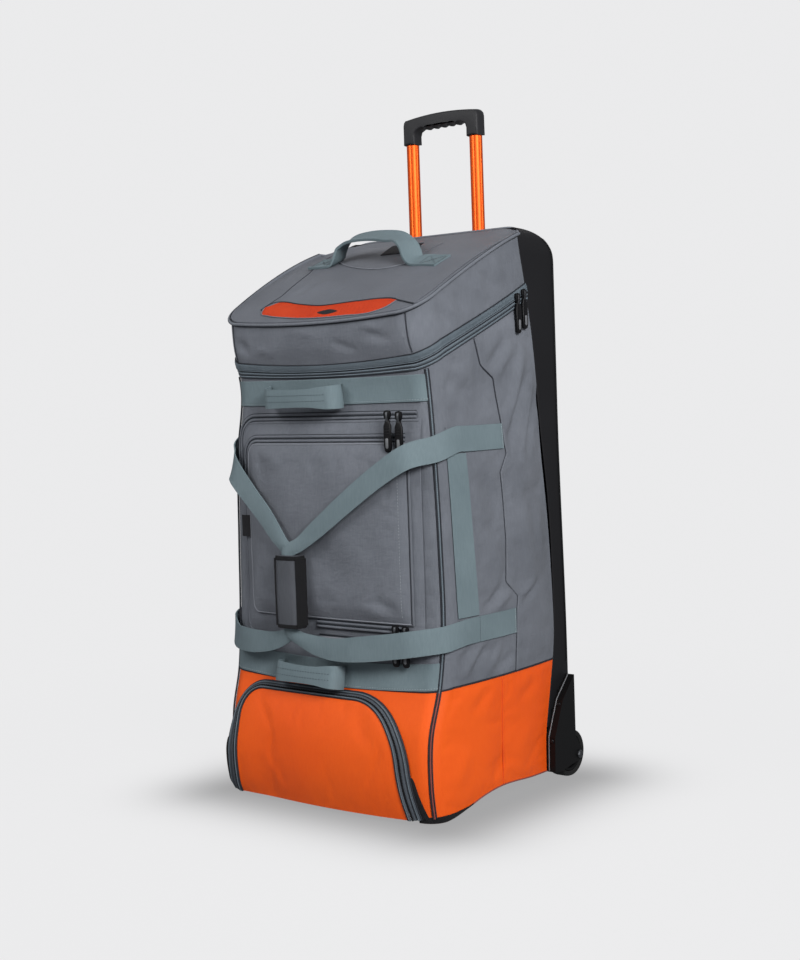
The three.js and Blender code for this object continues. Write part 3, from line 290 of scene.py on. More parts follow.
def studio_sheet():
    bend = np.linspace(0, math.pi / 2, 13)
    lip = WALL_RADIUS - FLOOR_RADIUS
    profile = [(0.001, 0.0)] + [(FLOOR_RADIUS * k / 6, 0.0) for k in range(1, 6)]
    profile += [(FLOOR_RADIUS + lip * math.sin(a), lip * (1 - math.cos(a))) for a in bend]
    profile += [(WALL_RADIUS, WALL_RISE)]
    turn = np.linspace(0, 2 * math.pi, 97)[:-1]
    points = [(r * math.cos(a), r * math.sin(a), z) for r, z in profile for a in turn]
    size = len(turn)
    faces = [(i * size + j, i * size + (j + 1) % size, (i + 1) * size + (j + 1) % size, (i + 1) * size + j)[::-1]
             for i in range(len(profile) - 1) for j in range(size)]
    mesh = bpy.data.meshes.new("studio_sheet")
    mesh.from_pydata(points, [], faces)
    mesh.shade_smooth()
    paper = Finish("pale studio paper", 0.95, Emission_Strength=1.0, Specular_IOR_Level=0.0)

    def vector(operation, *values, output=0):
        return paper.node("ShaderNodeVectorMath", {"operation": operation}, dict(enumerate(values)), output)

    beside = vector("SUBTRACT", vector("ABSOLUTE", paper.place()), FOOTPRINT)
    away = vector("LENGTH", vector("MAXIMUM", beside, (0, 0, 0)), output=1)
    fall = away.math("EXPONENT", (away * (1 / SHADOW_REACH)) ** 2.2 * -1)
    shade = fall * SHADOW_DEPTH + paper.noise(60) * 0.006
    near = paper.node("ShaderNodeMapRange", {"interpolation_type": "SMOOTHSTEP"},
                      {0: away, 1: NEAR, 2: FAR, 3: 1.0, 4: 0.0})
    lit = paper.mix(near, paint(*PAPER), paint(*PAPER, NEAR_DIM))
    paper.feed("Base Color", paper.mix(near * (1 - shade), BLACK, REFLECTS))
    paper.feed("Emission Color", paper.mix(shade, lit, BLACK))
    mesh.materials.append(paper.material)
    sheet = bpy.data.objects.new("studio_sheet", mesh)
    sheet.visible_diffuse = sheet.visible_glossy = False
    bpy.context.scene.collection.objects.link(sheet)


def soft_light(name, place, size, power, aim=(0, 0, 0.45)):
    lamp = bpy.data.lights.new(name, "AREA")
    lamp.shape, lamp.size, lamp.energy = "DISK", size, power
    light = bpy.data.objects.new(name, lamp)
    light.location = place
    light.rotation_euler = (Vector(aim) - Vector(place)).to_track_quat("-Z", "Y").to_euler()
    bpy.context.scene.collection.objects.link(light)


studio_sheet()
soft_light("right_light", (2.5, -1.3, 1.7), 1.1, 106, (0, 0, 0.6))
soft_light("front_light", (-0.7, -1.8, 1.75), 1.1, 22, (0, 0, 0.75))
soft_light("top_light", (0.0, 0.2, 3.6), 3.2, 2)
soft_light("rear_light", (-1.8, 2.6, 2.2), 2.4, 13)
world = bpy.data.worlds.new("studio")
bpy.context.scene.world = world
world.use_nodes = True
sky = world.node_tree.nodes["Background"].inputs
sky["Color"].default_value, sky["Strength"].default_value = SKY_COLOUR, SKY_STRENGTH
print("lights:", len(bpy.data.lights))

# %% [markdown]
# Three ways of making cloth parts cover the whole bag. A shell is a sheet of fabric: a grid of points on its
# outer face, given a thickness and a soft hem. A sweep carries a small section along a path: piping, webbing,
# tabs. Stitches and zip teeth are many small solids set along a path.


# %% Curves and grids
def unit(vectors):
    return vectors / np.maximum(np.linalg.norm(vectors, axis=-1, keepdims=True), 1e-9)


def blend(a, b, share):
    return a + (b - a) * share


def smooth(x, low, high):
    t = np.clip((x - low) / (high - low), 0, 1)
    return t * t * (3 - 2 * t)


def through(rows):
    """A smooth curve through (x, y) rows."""
    xs, ys = np.array(rows, float).T
    secants = np.diff(ys) / np.diff(xs)
    slopes = np.concatenate((secants[:1], (secants[1:] + secants[:-1]) / 2, secants[-1:]))

    def at(x):
        k = np.clip(np.searchsorted(xs, x, side="right") - 1, 0, len(xs) - 2)
        gap = xs[k + 1] - xs[k]
        t = np.clip((x - xs[k]) / gap, 0, 1)
        start = (1 + 2 * t) * ys[k] + t * gap * slopes[k]
        end = (3 - 2 * t) * ys[k + 1] + (t - 1) * gap * slopes[k + 1]
        return start * (1 - t) ** 2 + end * t ** 2
    return at


def lengths(points):
    return np.concatenate(([0], np.cumsum(np.linalg.norm(np.diff(points[:, :3], axis=0), axis=1))))


def evenly(rows, spacing):
    """Rows of a polyline taken again at even steps along it."""
    run = lengths(rows)
    steps = np.linspace(0, run[-1], max(2, round(run[-1] / spacing)) + 1)
    return np.stack([np.interp(steps, run, column) for column in rows.T], -1)


def route(stations, spacing):
    """A smooth path through stations: its points, its normals and the columns carried along."""
    rows = np.array(stations, float)
    knots = np.concatenate(([0], np.cumsum(np.sqrt(np.linalg.norm(np.diff(rows[:, :3], axis=0), axis=1)))))
    fine = np.linspace(0, knots[-1], 40 * len(rows))
    rows = evenly(np.stack([through(np.column_stack((knots, c)))(fine) for c in rows.T], -1), spacing)
    return rows[:, :3], unit(rows[:, 3:6]), rows[:, 6:].T


def grid_normals(grid):
    return unit(np.cross(np.gradient(grid, axis=1), np.gradient(grid, axis=0)))


def grid_quads(rows, columns):
    index = np.arange(rows * columns).reshape(rows, columns)
    return np.stack((index[:-1, :-1], index[:-1, 1:], index[1:, 1:], index[1:, :-1]), -1).reshape(-1, 4)


def across_path(path, out):
    return unit(np.cross(unit(np.gradient(path, axis=0)), out))


def rungs(path, out, spacing):
    """Even places along a path, each with its normal, its direction and its sideways direction."""
    rows = evenly(np.column_stack((path, np.broadcast_to(out, np.shape(path)))), spacing)
    middle, normal = rows[:, :3], unit(rows[:, 3:])
    return middle, normal, unit(np.gradient(middle, axis=0)), across_path(middle, normal)


def repeated(faces, size, count):
    return [[size * i + v for v in face] for i in range(count) for face in faces]


def creases(a, b, lines):
    """Soft ridges, or dents where the height is below 0: from (a, b) to (a, b), half width, height."""
    total = np.zeros(np.broadcast(a, b).shape)
    for a0, b0, a1, b1, wide, high in lines:
        length = math.hypot(a1 - a0, b1 - b0)
        ahead_of = ((a - a0) * (a1 - a0) + (b - b0) * (b1 - b0)) / length ** 2
        away = ((a - a0) * (b1 - b0) - (b - b0) * (a1 - a0)) / length
        total += high * np.exp(-(away / wide) ** 2) * np.sin(math.pi * np.clip(ahead_of, 0, 1))
    return total


def raised(grid, lift):
    return grid + grid_normals(grid) * lift[..., None]


def round_off(radius, past):
    """How far a rounded corner falls away, past the start of its arc."""
    return radius - np.sqrt(np.maximum(0, radius ** 2 - np.maximum(0, past) ** 2))


print("steps of 4 mm along 100 mm:", len(evenly(np.array([(0, 0, 0), (100.0, 0, 0)]), 4)) - 1)

# %% [markdown]
# A Piece gathers parts, each with its own finish, and becomes one object.


# %% Pieces, shells, sweeps, stitches and teeth
class Piece:
    def __init__(self):
        self.points, self.cloth, self.faces, self.looks, self.finishes, self.count = [], [], [], [], [], 0

    def add(self, points, faces, finish, cloth=None):
        points = np.asarray(points, float).reshape(-1, 3)
        if cloth is None:
            cloth = np.column_stack((points[:, 0] + points[:, 1], points[:, 2]))
        if finish not in self.finishes:
            self.finishes.append(finish)
        self.points.append(points)
        self.cloth.append(np.asarray(cloth, float).reshape(-1, 2))
        self.faces += [[v + self.count for v in face] for face in faces]
        self.looks += [self.finishes.index(finish)] * len(faces)
        self.count += len(points)
        return self

    def shell(self, grid, thick, finish, keep=None, hem=0.35):
        rows, columns = grid.shape[:2]
        size = rows * columns
        quads = grid_quads(rows, columns)
        if keep is not None:
            quads = quads[keep.ravel()]
        out = grid_normals(grid).reshape(-1, 3)
        front = grid.reshape(-1, 3)
        back = front - thick * out
        edges = np.concatenate([quads[:, (k, (k + 1) % 4)] for k in range(4)])
        a, b = edges[~np.isin(edges[:, 0] * size + edges[:, 1], edges[:, 1] * size + edges[:, 0])].T
        lip = np.zeros((size, 3))
        push = np.cross(front[b] - front[a], out[a])
        np.add.at(lip, a, push)
        np.add.at(lip, b, push)
        rim = np.unique(a)
        number = np.full(size, -1)
        number[rim] = 2 * size + np.arange(len(rim))
        middle = (front[rim] + back[rim]) / 2 + unit(lip[rim]) * thick * hem
        faces = np.concatenate((quads, quads[:, ::-1] + size, np.stack((b, a, number[a], number[b]), -1),
                                np.stack((number[b], number[a], a + size, b + size), -1)))
        steps_along = np.linalg.norm(np.diff(grid, axis=1), axis=2)
        steps_up = np.linalg.norm(np.diff(grid, axis=0), axis=2)
        along = np.concatenate((np.zeros((rows, 1)), np.cumsum(steps_along, axis=1)), axis=1)
        up = np.concatenate((np.zeros((1, columns)), np.cumsum(steps_up, axis=0)), axis=0)
        cloth = np.stack((along - along[:, columns // 2, None], up), -1).reshape(-1, 2)
        points = np.concatenate((front, back, middle))
        cloth = np.concatenate((cloth, cloth, cloth[rim]))
        used = np.unique(faces)
        renumber = np.zeros(len(points), int)
        renumber[used] = np.arange(len(used))
        self.add(points[used], renumber[faces].tolist(), finish, cloth[used])

    def sweep(self, path, out, half, section, finish, bow=0.0, closed=False):
        path = np.asarray(path, float)
        size, count = len(section), len(path)
        steps = np.roll(path, -1, 0) - np.roll(path, 1, 0) if closed else np.gradient(path, axis=0)
        tangent = unit(steps)
        across = unit(np.cross(tangent, np.broadcast_to(out, path.shape)))
        lift = np.cross(across, tangent)
        half = np.broadcast_to(np.asarray(half, float), (count, 2))
        bow = np.broadcast_to(np.asarray(bow, float), (count,))
        wide = half[:, :1] * section[:, 0]
        high = half[:, 1:] * section[:, 1] + bow[:, None] * (1 - section[:, 0] ** 2)
        points = path[:, None] + wide[..., None] * across[:, None] + high[..., None] * lift[:, None]
        near = np.arange(count if closed else count - 1)[:, None] * size
        far = (near + size) % (count * size)
        m = np.arange(size)
        n = (m + 1) % size
        faces = np.stack((near + m, far + m, far + n, near + n), -1).reshape(-1, 4).tolist()
        if not closed:
            faces += [list(range(size)), list(range(count * size - 1, (count - 1) * size - 1, -1))]
        cloth = np.stack((wide, np.broadcast_to(lengths(path)[:, None], wide.shape)), -1)
        self.add(points, faces, finish, cloth)

    def stitches(self, path, out, finish, pitch=4.6, length=3.1, radius=0.5):
        middle, normal, tangent, side = rungs(path, out, pitch)
        points = np.stack((middle - tangent * length / 2, middle + side * radius, middle + normal * radius * 1.3,
                           middle - side * radius, middle - normal * radius, middle + tangent * length / 2), 1)
        spindle = [(0, 1 + k, 1 + (k + 1) % 4) for k in range(4)] + [(5, 1 + (k + 1) % 4, 1 + k) for k in range(4)]
        self.add(points, repeated(spindle, 6, len(middle)), finish)

    def teeth(self, path, out, finish, pitch=2.4, width=3.6, high=1.5):
        middle, normal, tangent, side = rungs(path, out, pitch)
        stagger = np.where(np.arange(len(middle)) % 2, 0.3, -0.3)[:, None]
        corners = [(a, s, h) for h in (0, 1) for a, s in ((-1, -1), (1, -1), (1, 1), (-1, 1))]
        points = np.stack([middle + tangent * a * pitch * 0.3 + side * (s * width * 0.42 + stagger)
                           + normal * h * high for a, s, h in corners], 1)
        box = [(0, 1, 2, 3), (7, 6, 5, 4), (4, 5, 1, 0), (5, 6, 2, 1), (6, 7, 3, 2), (7, 4, 0, 3)]
        self.add(points, repeated(box, 8, len(middle)), finish)

    def make(self, name, slot, *nodes, body="bag", sharp=42):
        mesh = bpy.data.meshes.new(name)
        mesh.from_pydata(in_frame(np.concatenate(self.points)).tolist(), [], self.faces)
        laid = np.concatenate(self.cloth)
        attribute = mesh.attributes.new("cloth", "FLOAT_VECTOR", "POINT")
        attribute.data.foreach_set("vector", np.column_stack((laid, np.zeros(len(laid)))).ravel())
        for finish in self.finishes:
            mesh.materials.append(finish)
        mesh.polygons.foreach_set("material_index", self.looks)
        mesh.shade_smooth()
        mesh.set_sharp_from_angle(angle=math.radians(sharp))
        mesh.update()
        made = bpy.data.objects.new(name, mesh)
        bpy.context.scene.collection.objects.link(made)
        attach(made, body)
        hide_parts(*nodes)
        print(f"{name}: {len(self.faces)} faces, {len(self.finishes)} finishes")
        return made


def oval(count, power=2.0):
    turn = np.linspace(0, 2 * math.pi, count + 1)[:-1]
    c, s = np.cos(turn), np.sin(turn)
    return np.column_stack((np.sign(c) * abs(c) ** (2 / power), np.sign(s) * abs(s) ** (2 / power)))


def flat_section(count=7):
    side = np.linspace(-0.985, 0.985, count)
    bottom = np.column_stack((side, -np.ones(count)))
    return np.concatenate((bottom, [(1, 0)], -bottom, [(-1, 0)]))


ROUND, FLAT = oval(10), flat_section()
print("points in a round and in a flat section:", len(ROUND), len(FLAT))

# %% [markdown]
# The bag's wall is one surface. Its run goes from -1 at the left rear corner over 0 at the middle of the
# front to 1 at the right rear, and its height is z. All soft pieces are set on this surface with a lift, so
# they use the same values as the CAD solids.

# %% The bag's wall
FRONT_SHARE, CORNER_SHARE, BACK_HALF, CROWN, GAP = 0.46, 0.62, 203, 5, 0.5
half_at = through([(0, 204), (60, 207), (130, 208), (196, 211), (280, 214), (400, 212), (540, 207), (630, 199),
                   (668, 200), (700, 200), (745, 199), (900, 199)])
front_at = through([(0, -14), (60, -25), (130, -23), (196, -4), (280, 6), (400, 8), (540, 8), (630, 11),
                    (668, 4), (700, -8), (745, -13), (900, -13)])
corner_at = through([(0, 30), (60, 30), (130, 30), (196, 30), (280, 30), (400, 30), (540, 32), (630, 36), (668, 40),
                     (700, 44), (745, 44), (900, 44)])
rear_at = through([(0, 270), (80, 272), (150, 286), (226, 300), (353, 302), (449, 296), (576, 279), (700, 265),
                   (785, 249), (855, 234), (900, 232)])
lower_edge = through([(-30, 4), (20, 5), (60, 14), (100, 24), (143, 29), (228, 24), (280, 22)])


def wall_point(u, z):
    u, z = np.broadcast_arrays(np.asarray(u, float), np.asarray(z, float))
    run = abs(u)
    half, front, corner = half_at(z), front_at(z), corner_at(z)
    flat = half - corner
    f = run / FRONT_SHARE
    turn = (run - FRONT_SHARE) / (CORNER_SHARE - FRONT_SHARE) * math.pi / 2
    g = (run - CORNER_SHARE) / (1 - CORNER_SHARE)
    where = [run <= FRONT_SHARE, run <= CORNER_SHARE]
    x = np.select(where, [flat * f, flat + corner * np.sin(turn)],
                  blend(half, BACK_HALF, g * g) + CROWN * 4 * g * (1 - g))
    y = np.select(where, [front - CROWN * (1 - f * f), front + corner * (1 - np.cos(turn))],
                  blend(front + corner, rear_at(z) - GAP, g))
    return np.stack((np.where(u < 0, -x, x), y, z), -1)


def wall_normal(u, z):
    u, z = np.asarray(u, float), np.asarray(z, float)
    along = wall_point(u + 0.01, z) - wall_point(u - 0.01, z)
    return unit(np.cross(along, wall_point(u, z + 1) - wall_point(u, z - 1)))


def skin(u, z, lift=0.0):
    return wall_point(u, z) + wall_normal(u, z) * np.asarray(lift, float)[..., None]


def front_run(x, z):
    corner = corner_at(z)
    flat = half_at(z) - corner
    turn = np.arcsin(np.clip((abs(x) - flat) / corner, 0, 1)) / (math.pi / 2)
    return np.where(abs(x) <= flat, FRONT_SHARE * x / flat,
                    np.sign(x) * blend(FRONT_SHARE, CORNER_SHARE, turn))


def side_run(side, y, z):
    start = front_at(z) + corner_at(z)
    return side * (CORNER_SHARE + (1 - CORNER_SHARE) * (y - start) / (rear_at(z) - GAP - start))


def sag_share(u):
    return 1 - np.minimum(1, abs(u) / CORNER_SHARE) ** 2


def seam_at(u):
    return 198 - 9 * sag_share(u)


def lower_at(u):
    return lower_edge(wall_point(u, -30)[..., 1])


def zip_top(u):
    return 686 + 0.38 * np.maximum(0, wall_point(u, 686)[..., 1]) - 14 * sag_share(u)


def zip_bottom(u):
    return zip_top(u) - blend(25, 19, sag_share(u))


LID_FRONT = 740


def lid_height(y):
    back = np.maximum(0, y - front_at(LID_FRONT) + CROWN)
    return LID_FRONT + 0.61 * back - 0.00061 * back ** 2


def lid_edge(u):
    return lid_height(wall_point(u, LID_FRONT)[..., 1]) - 6 * sag_share(u)


def runs(step):
    """Runs along the wall about one step, in millimetres, apart."""
    front = np.linspace(0, FRONT_SHARE, round(178 / step) + 1)
    corner = np.linspace(FRONT_SHARE, CORNER_SHARE, round(60 / step) + 1)[1:]
    side = np.linspace(CORNER_SHARE, 1, round(250 / step) + 1)[1:]
    half = np.concatenate((front, corner, side))
    return np.concatenate((-half[:0:-1], half))


WALL_RUNS = runs(5)
SIDE_START = int(np.searchsorted(WALL_RUNS, CORNER_SHARE)) - 2
SIDE_PARTS = slice(SIDE_START, None), slice(len(WALL_RUNS) - 1 - SIDE_START, None, -1)
ON_SIDE = np.clip((abs(WALL_RUNS) - CORNER_SHARE) / 0.04, 0, 1)
SIDES = (-1, "left"), (1, "right")
print("columns along the wall:", len(WALL_RUNS))


def wall_grid(columns, bottom, top, rows, lift=0.0):
    share = np.linspace(0, 1, rows)[:, None]
    z = blend(bottom(columns)[None], top(columns)[None], share)
    return skin(columns, z, lift)


def wall_cord(piece, u, z, lift, half, finish):
    piece.sweep(skin(u, z, lift), wall_normal(u, z), half, ROUND, finish)


def wall_stitches(piece, u, z, lift, finish, pitch, length, radius):
    piece.stitches(skin(u, z, lift), wall_normal(u, z), finish, pitch, length, radius)


# %% [markdown]
# Loose fabric is settled by Blender's cloth simulation: a panel is pinned along its seams, made a little
# larger than its place so that it has slack, and blown out slightly. How far it may move is capped, because
# webbing and zips lie on it. The result is read back as plain points.


# %% Cloth settling
def pin_edges(pinned, deep):
    pinned[:deep], pinned[-deep:], pinned[:, :deep], pinned[:, -deep:] = True, True, True, True
    return pinned


def settle(grid, pinned, slack, pressure, cap, frames=18):
    rows, columns = grid.shape[:2]
    start = in_frame(grid).reshape(-1, 3)
    mesh = bpy.data.meshes.new("settling")
    mesh.from_pydata(start.tolist(), [], grid_quads(rows, columns).tolist())
    panel = bpy.data.objects.new("settling", mesh)
    bpy.context.scene.collection.objects.link(panel)
    panel.vertex_groups.new(name="sewn").add(np.flatnonzero(pinned.ravel()).tolist(), 1.0, "REPLACE")
    cloth = panel.modifiers.new("cloth", "CLOTH")
    settings = dict(quality=6, mass=0.2, tension_stiffness=25, compression_stiffness=25, bending_stiffness=0.6,
                    vertex_group_mass="sewn", shrink_min=-slack, use_pressure=True, uniform_pressure_force=pressure)
    for key, value in settings.items():
        setattr(cloth.settings, key, value)
    cloth.settings.effector_weights.gravity = 0
    cloth.collision_settings.use_collision = False
    for step in range(1, frames + 1):
        bpy.context.scene.frame_set(step)
    settled = panel.evaluated_get(bpy.context.evaluated_depsgraph_get()).data
    found = np.zeros(len(start) * 3)
    settled.vertices.foreach_get("co", found)
    move = (found.reshape(-1, 3) - start).reshape(grid.shape) / MM
    far = np.linalg.norm(move, axis=-1, keepdims=True)
    limit = np.broadcast_to(np.asarray(cap, float), grid.shape[:2])[..., None]
    bpy.data.objects.remove(panel)
    bpy.context.scene.frame_set(1)
    print(f"settled {rows} x {columns} points, furthest {far.max():.1f} mm")
    return grid + move * np.tanh(far / np.maximum(limit, 1e-6)) * limit / np.maximum(far, 1e-9)


# %% [markdown]
# The body is one panel round the front and the sides. The sides hang loosely between the corner, the lid zip,
# the back and the upright seam, so they are settled; the webbing and the sewn strap ends hold them flat. A dark
# cord along each upright seam paints the shade in the seam's step.

# %% Body
CLOTH, WEB, WEB_WIDE, UPRIGHT_WIDE, BODY_ROWS = 2.4, 1.8, 38, 46, 104
STRAP_HIGH, STRAP_LOW = 556, 276
STRAP_END = {STRAP_HIGH: 167, STRAP_LOW: 179}
SIDE_SEAM = [(199, 179), (291, 183), (312, 187), (337, 156), (398, 161), (457, 158.5), (502, 155), (530, 174),
             (545, 170), (581, 166), (643, 155), (663, 124), (704, 110)]
# A crease: where it starts and ends, here y and z, then its half width and its height.
SIDE_CREASES = [(236, 700, 180, 560, 11, 7.0), (250, 660, 176, 520, 10, -6.5), (276, 630, 226, 520, 14, -5.5),
                (262, 640, 205, 500, 10, 5.5), (276, 620, 284, 240, 26, -5.0), (190, 706, 136, 648, 9, -3.9),
                (206, 704, 160, 636, 10, 3.3), (24, 664, 84, 668, 8, -2.7), (34, 646, 108, 622, 11, -3.9),
                (8, 596, 80, 600, 9, -3.0), (30, 622, 96, 640, 10, 2.7), (88, 290, 166, 344, 8, -4.5),
                (112, 292, 180, 326, 6, 3.6), (186, 306, 236, 336, 7, 4.5), (200, 300, 250, 328, 7, -3.9),
                (2, 212, 88, 262, 11, -4.5), (36, 204, 104, 262, 10, 3.9), (68, 206, 116, 262, 9, -4.5),
                (96, 200, 150, 250, 9, 3.6), (120, 204, 190, 228, 8, -3.3), (216, 520, 222, 300, 22, 4.5),
                (226, 500, 236, 360, 20, -3.6), (262, 470, 268, 330, 16, 3.0), (110, 520, 140, 420, 16, -2.4),
                (104, 420, 150, 350, 14, 2.4)]
FOLD_DEPTH, HELD_FADE = 1.25, 14
SEAM_LOW, SEAM_HIGH, SEAM_FOLD = 197.5, 702, 3.4
FRONT_CREASES = [(180, z, 206, z + tilt, 5, -1.6) for z, tilt in
                 ((300, 4), (334, -3), (371, 5), (402, -4), (446, 3), (489, -5), (528, 4), (566, -3))]
FRONT_CREASES += [(150, 598, 190, 616, 6, -2.0), (-206, 600, -180, 570, 7, 1.6)]


def side_seam(z):
    return np.interp(z, *np.array(SIDE_SEAM).T)


def webbing_front(z):
    return blend(39, 28, np.clip((z - 297) / 238, 0, 1))


def held_down(points):
    """1 where webbing or a seam holds the side, falling to 0 beside it."""
    y, z = points[..., 1], points[..., 2]
    beside = np.maximum(webbing_front(z) - 3 - y, y - webbing_front(z) - UPRIGHT_WIDE - 3)
    upright = np.maximum(beside, np.maximum(STRAP_LOW - z, z - STRAP_HIGH))
    ends = [np.maximum(abs(z - level) - WEB_WIDE / 2 - 2, y - end - 4) for level, end in STRAP_END.items()]
    seam = abs(y - side_seam(z)) - 2
    away = np.minimum.reduce([upright, *ends, seam])
    return 1 - np.clip(away / HELD_FADE, 0, 1)


def body_cloth():
    piece = Piece()
    grid = wall_grid(WALL_RUNS, lambda u: seam_at(u) + GAP, lambda u: zip_bottom(u) - GAP, BODY_ROWS)
    x, y, z = np.moveaxis(grid, -1, 0)
    share = np.linspace(0, 1, BODY_ROWS)[:, None]
    near_edge = np.clip(share * (1 - share) / 0.03, 0, 1)
    lift = FOLD_DEPTH * creases(y, z, SIDE_CREASES) * (1 - held_down(grid)) * ON_SIDE
    lift = lift + creases(x, z, FRONT_CREASES) * (abs(WALL_RUNS) < 0.5)
    grid = raised(grid, lift * near_edge)
    for part in SIDE_PARTS:
        held = held_down(grid[:, part])
        grid[:, part] = settle(grid[:, part], pin_edges(held > 0.9, 2), 0.01, 0.5, 0.2 + 4 * (1 - held))
    piece.shell(grid, CLOTH, GREY_CLOTH)
    z = np.linspace(SEAM_LOW, SEAM_HIGH, 150)
    thin = 0.5 + 0.5 * smooth(z, 520, 560)
    for side, _ in SIDES:
        # A dark cord on the seam line: painted shade in the seam's step, thinner below the strap.
        wall_cord(piece, side_run(side, side_seam(z), z), z, 0.6, np.column_stack((thin, thin)), DARK_THREAD_AND_SEAM_SHADE)
        fold = side_run(side, side_seam(z) + SEAM_FOLD, z)
        wall_cord(piece, fold, z, 0.4, (2.0, 0.9), GREY_CLOTH)
        wall_stitches(piece, fold, z, 1.3, LIGHT_CLOTH, 5.4, 3.4, 0.4)
    piece.make("body_cloth", "body_fabric", "main_body")


body_cloth()

# %% [markdown]
# The lid's side wall is a narrow panel above the zip, with an upright seam at each front corner and soft
# slanting creases where the lid droops. So narrow a strip needs no settling: creases on its grid are enough.


# %% Lid side
GUSSET_CREASES = [(28, 752, 62, 712, 8, -4.2), (46, 764, 84, 722, 8, 3.5), (70, 772, 96, 742, 7, -3.5),
                  (110, 792, 150, 756, 9, 3.2), (130, 806, 176, 768, 8, -3.2), (160, 824, 190, 790, 9, 2.9)]
LID_FRONT_CREASES = [(-170, 716, -140, 694, 9, -3.8), (30, 706, 84, 688, 7, -2.9), (96, 714, 146, 704, 8, -3.5),
                     (90, 726, 130, 720, 6, 2.6), (-60, 724, 20, 716, 8, 1.9), (-130, 700, -80, 690, 8, 1.9)]
LID_CORNER_SEAM = FRONT_SHARE + 0.045


def lid_side():
    piece = Piece()
    grid = wall_grid(WALL_RUNS, lambda u: zip_top(u) + GAP, lid_edge, 28)
    share = np.linspace(0, 1, len(grid))[:, None]
    x, y, z = np.moveaxis(grid, -1, 0)
    lift = creases(y, z, GUSSET_CREASES) * (abs(WALL_RUNS) > 0.56)
    lift = lift + creases(x, z, LID_FRONT_CREASES) * (abs(WALL_RUNS) < 0.5)
    grid = raised(grid, lift * np.sin(math.pi * share) ** 0.6)
    piece.shell(grid, CLOTH, GREY_CLOTH)
    for side, _ in SIDES:
        u = side * LID_CORNER_SEAM
        wall_cord(piece, u, np.linspace(zip_top(u) + 2, lid_edge(u) - 3, 20), 0.5, (0.9, 0.9), DARK_THREAD_AND_SEAM_SHADE)
    piece.make("lid_side", "body_fabric", "lid_gusset")


lid_side()


# %% [markdown]
# The lid zip runs round the bag under the lid. A knitted flap hangs over the coil from above, and the lower
# tape is folded into ridges. It is four long strips on the wall, with cords along their edges.

# %% Lid zip
RIBS_LIFT = 3.6 + 0.45 * np.cos(np.arange(17) * math.pi) - 2.0 * np.linspace(-0.2, 1, 17) ** 4
# Each strip: where it starts and ends as a share of the zip's height, its lifts, thickness and finish.
LID_ZIP_STRIPS = [(0.0, 0.17, (0.6, 2.0, 2.5, 2.0, 0.9), 1.4, KNIT_TAPE),
                  (0.2, 0.42, (0.9, 2.4, 3.0, 2.4, 1.0), 1.4, KNIT_TAPE),
                  (0.38, 0.6, (0.6, 0.9, 0.9, 0.9), 1.2, ZIP_TAPE), (0.55, 1.0, RIBS_LIFT, 1.6, KNIT_TAPE)]
# Each cord: its share of the height, its lift and its radius.
LID_ZIP_CORDS = [(0.0, 0.9, 1.0), (0.185, 1.2, 1.0), (0.43, 1.3, 1.2), (0.55, 3.0, 0.9), (1.0, 1.4, 1.1)]


def lid_zip():
    piece = Piece()

    def level(share, lift):
        z = blend(zip_bottom(WALL_RUNS), zip_top(WALL_RUNS), share)
        return skin(WALL_RUNS, z, lift), wall_normal(WALL_RUNS, z)

    for low, high, lifts, thick, finish in LID_ZIP_STRIPS:
        shares = np.linspace(low, high, len(lifts))
        piece.shell(np.stack([level(t, lift)[0] for t, lift in zip(shares, lifts)]), thick, finish)
    piece.teeth(*level(0.49, 0.9), DARK_PIPING)
    for share, lift, radius in LID_ZIP_CORDS:
        piece.sweep(*level(share, lift), (radius, radius), ROUND, DARK_PIPING)
    piece.make("lid_zip_band", "zip_tape", "lid_zip")


lid_zip()

# %% [markdown]
# The boot compartment is coated orange cloth with a D-shaped doorway in front. The wall is one panel with the
# doorway left out; the zip covers its cut edge.

# %% Boot wall
DOOR_TOP, DOOR_LOW, DOOR_EDGE = 171, 10, {-1: -166, 1: 142.5}
DOOR_RADIUS, DOOR_FLARE = {-1: 42, 1: 80}, {-1: 4, 1: 18}
BOOT_SEAM_Y, DOORWAY_WIDER, BINDING_END = 143, 12, 0.71
BOOT_CREASES = [(20, 40, 60, 110, 16, 2.5), (60, 150, 120, 186, 10, -2.2), (170, 60, 230, 120, 18, 2.2),
                (110, 40, 150, 90, 14, -2.0), (180, 150, 250, 178, 10, -2.0)]


def door_side(side, z, grow=0.0):
    radius = DOOR_RADIUS[side] + grow
    inset = round_off(radius, z - (DOOR_TOP + 0.65 * grow - radius))
    flare = DOOR_FLARE[side] * np.maximum(0, 1 - (z - DOOR_LOW) / (DOOR_TOP - DOOR_LOW)) ** 2
    return DOOR_EDGE[side] + side * (grow + flare - inset)


def door_heights(grow, straight, curved):
    arc = DOOR_TOP + 0.65 * grow - (DOOR_RADIUS[1] + grow) * (1 - np.sin(np.linspace(0, math.pi / 2, curved)))
    return np.concatenate((np.linspace(DOOR_LOW, arc[0], straight)[:-1], arc))


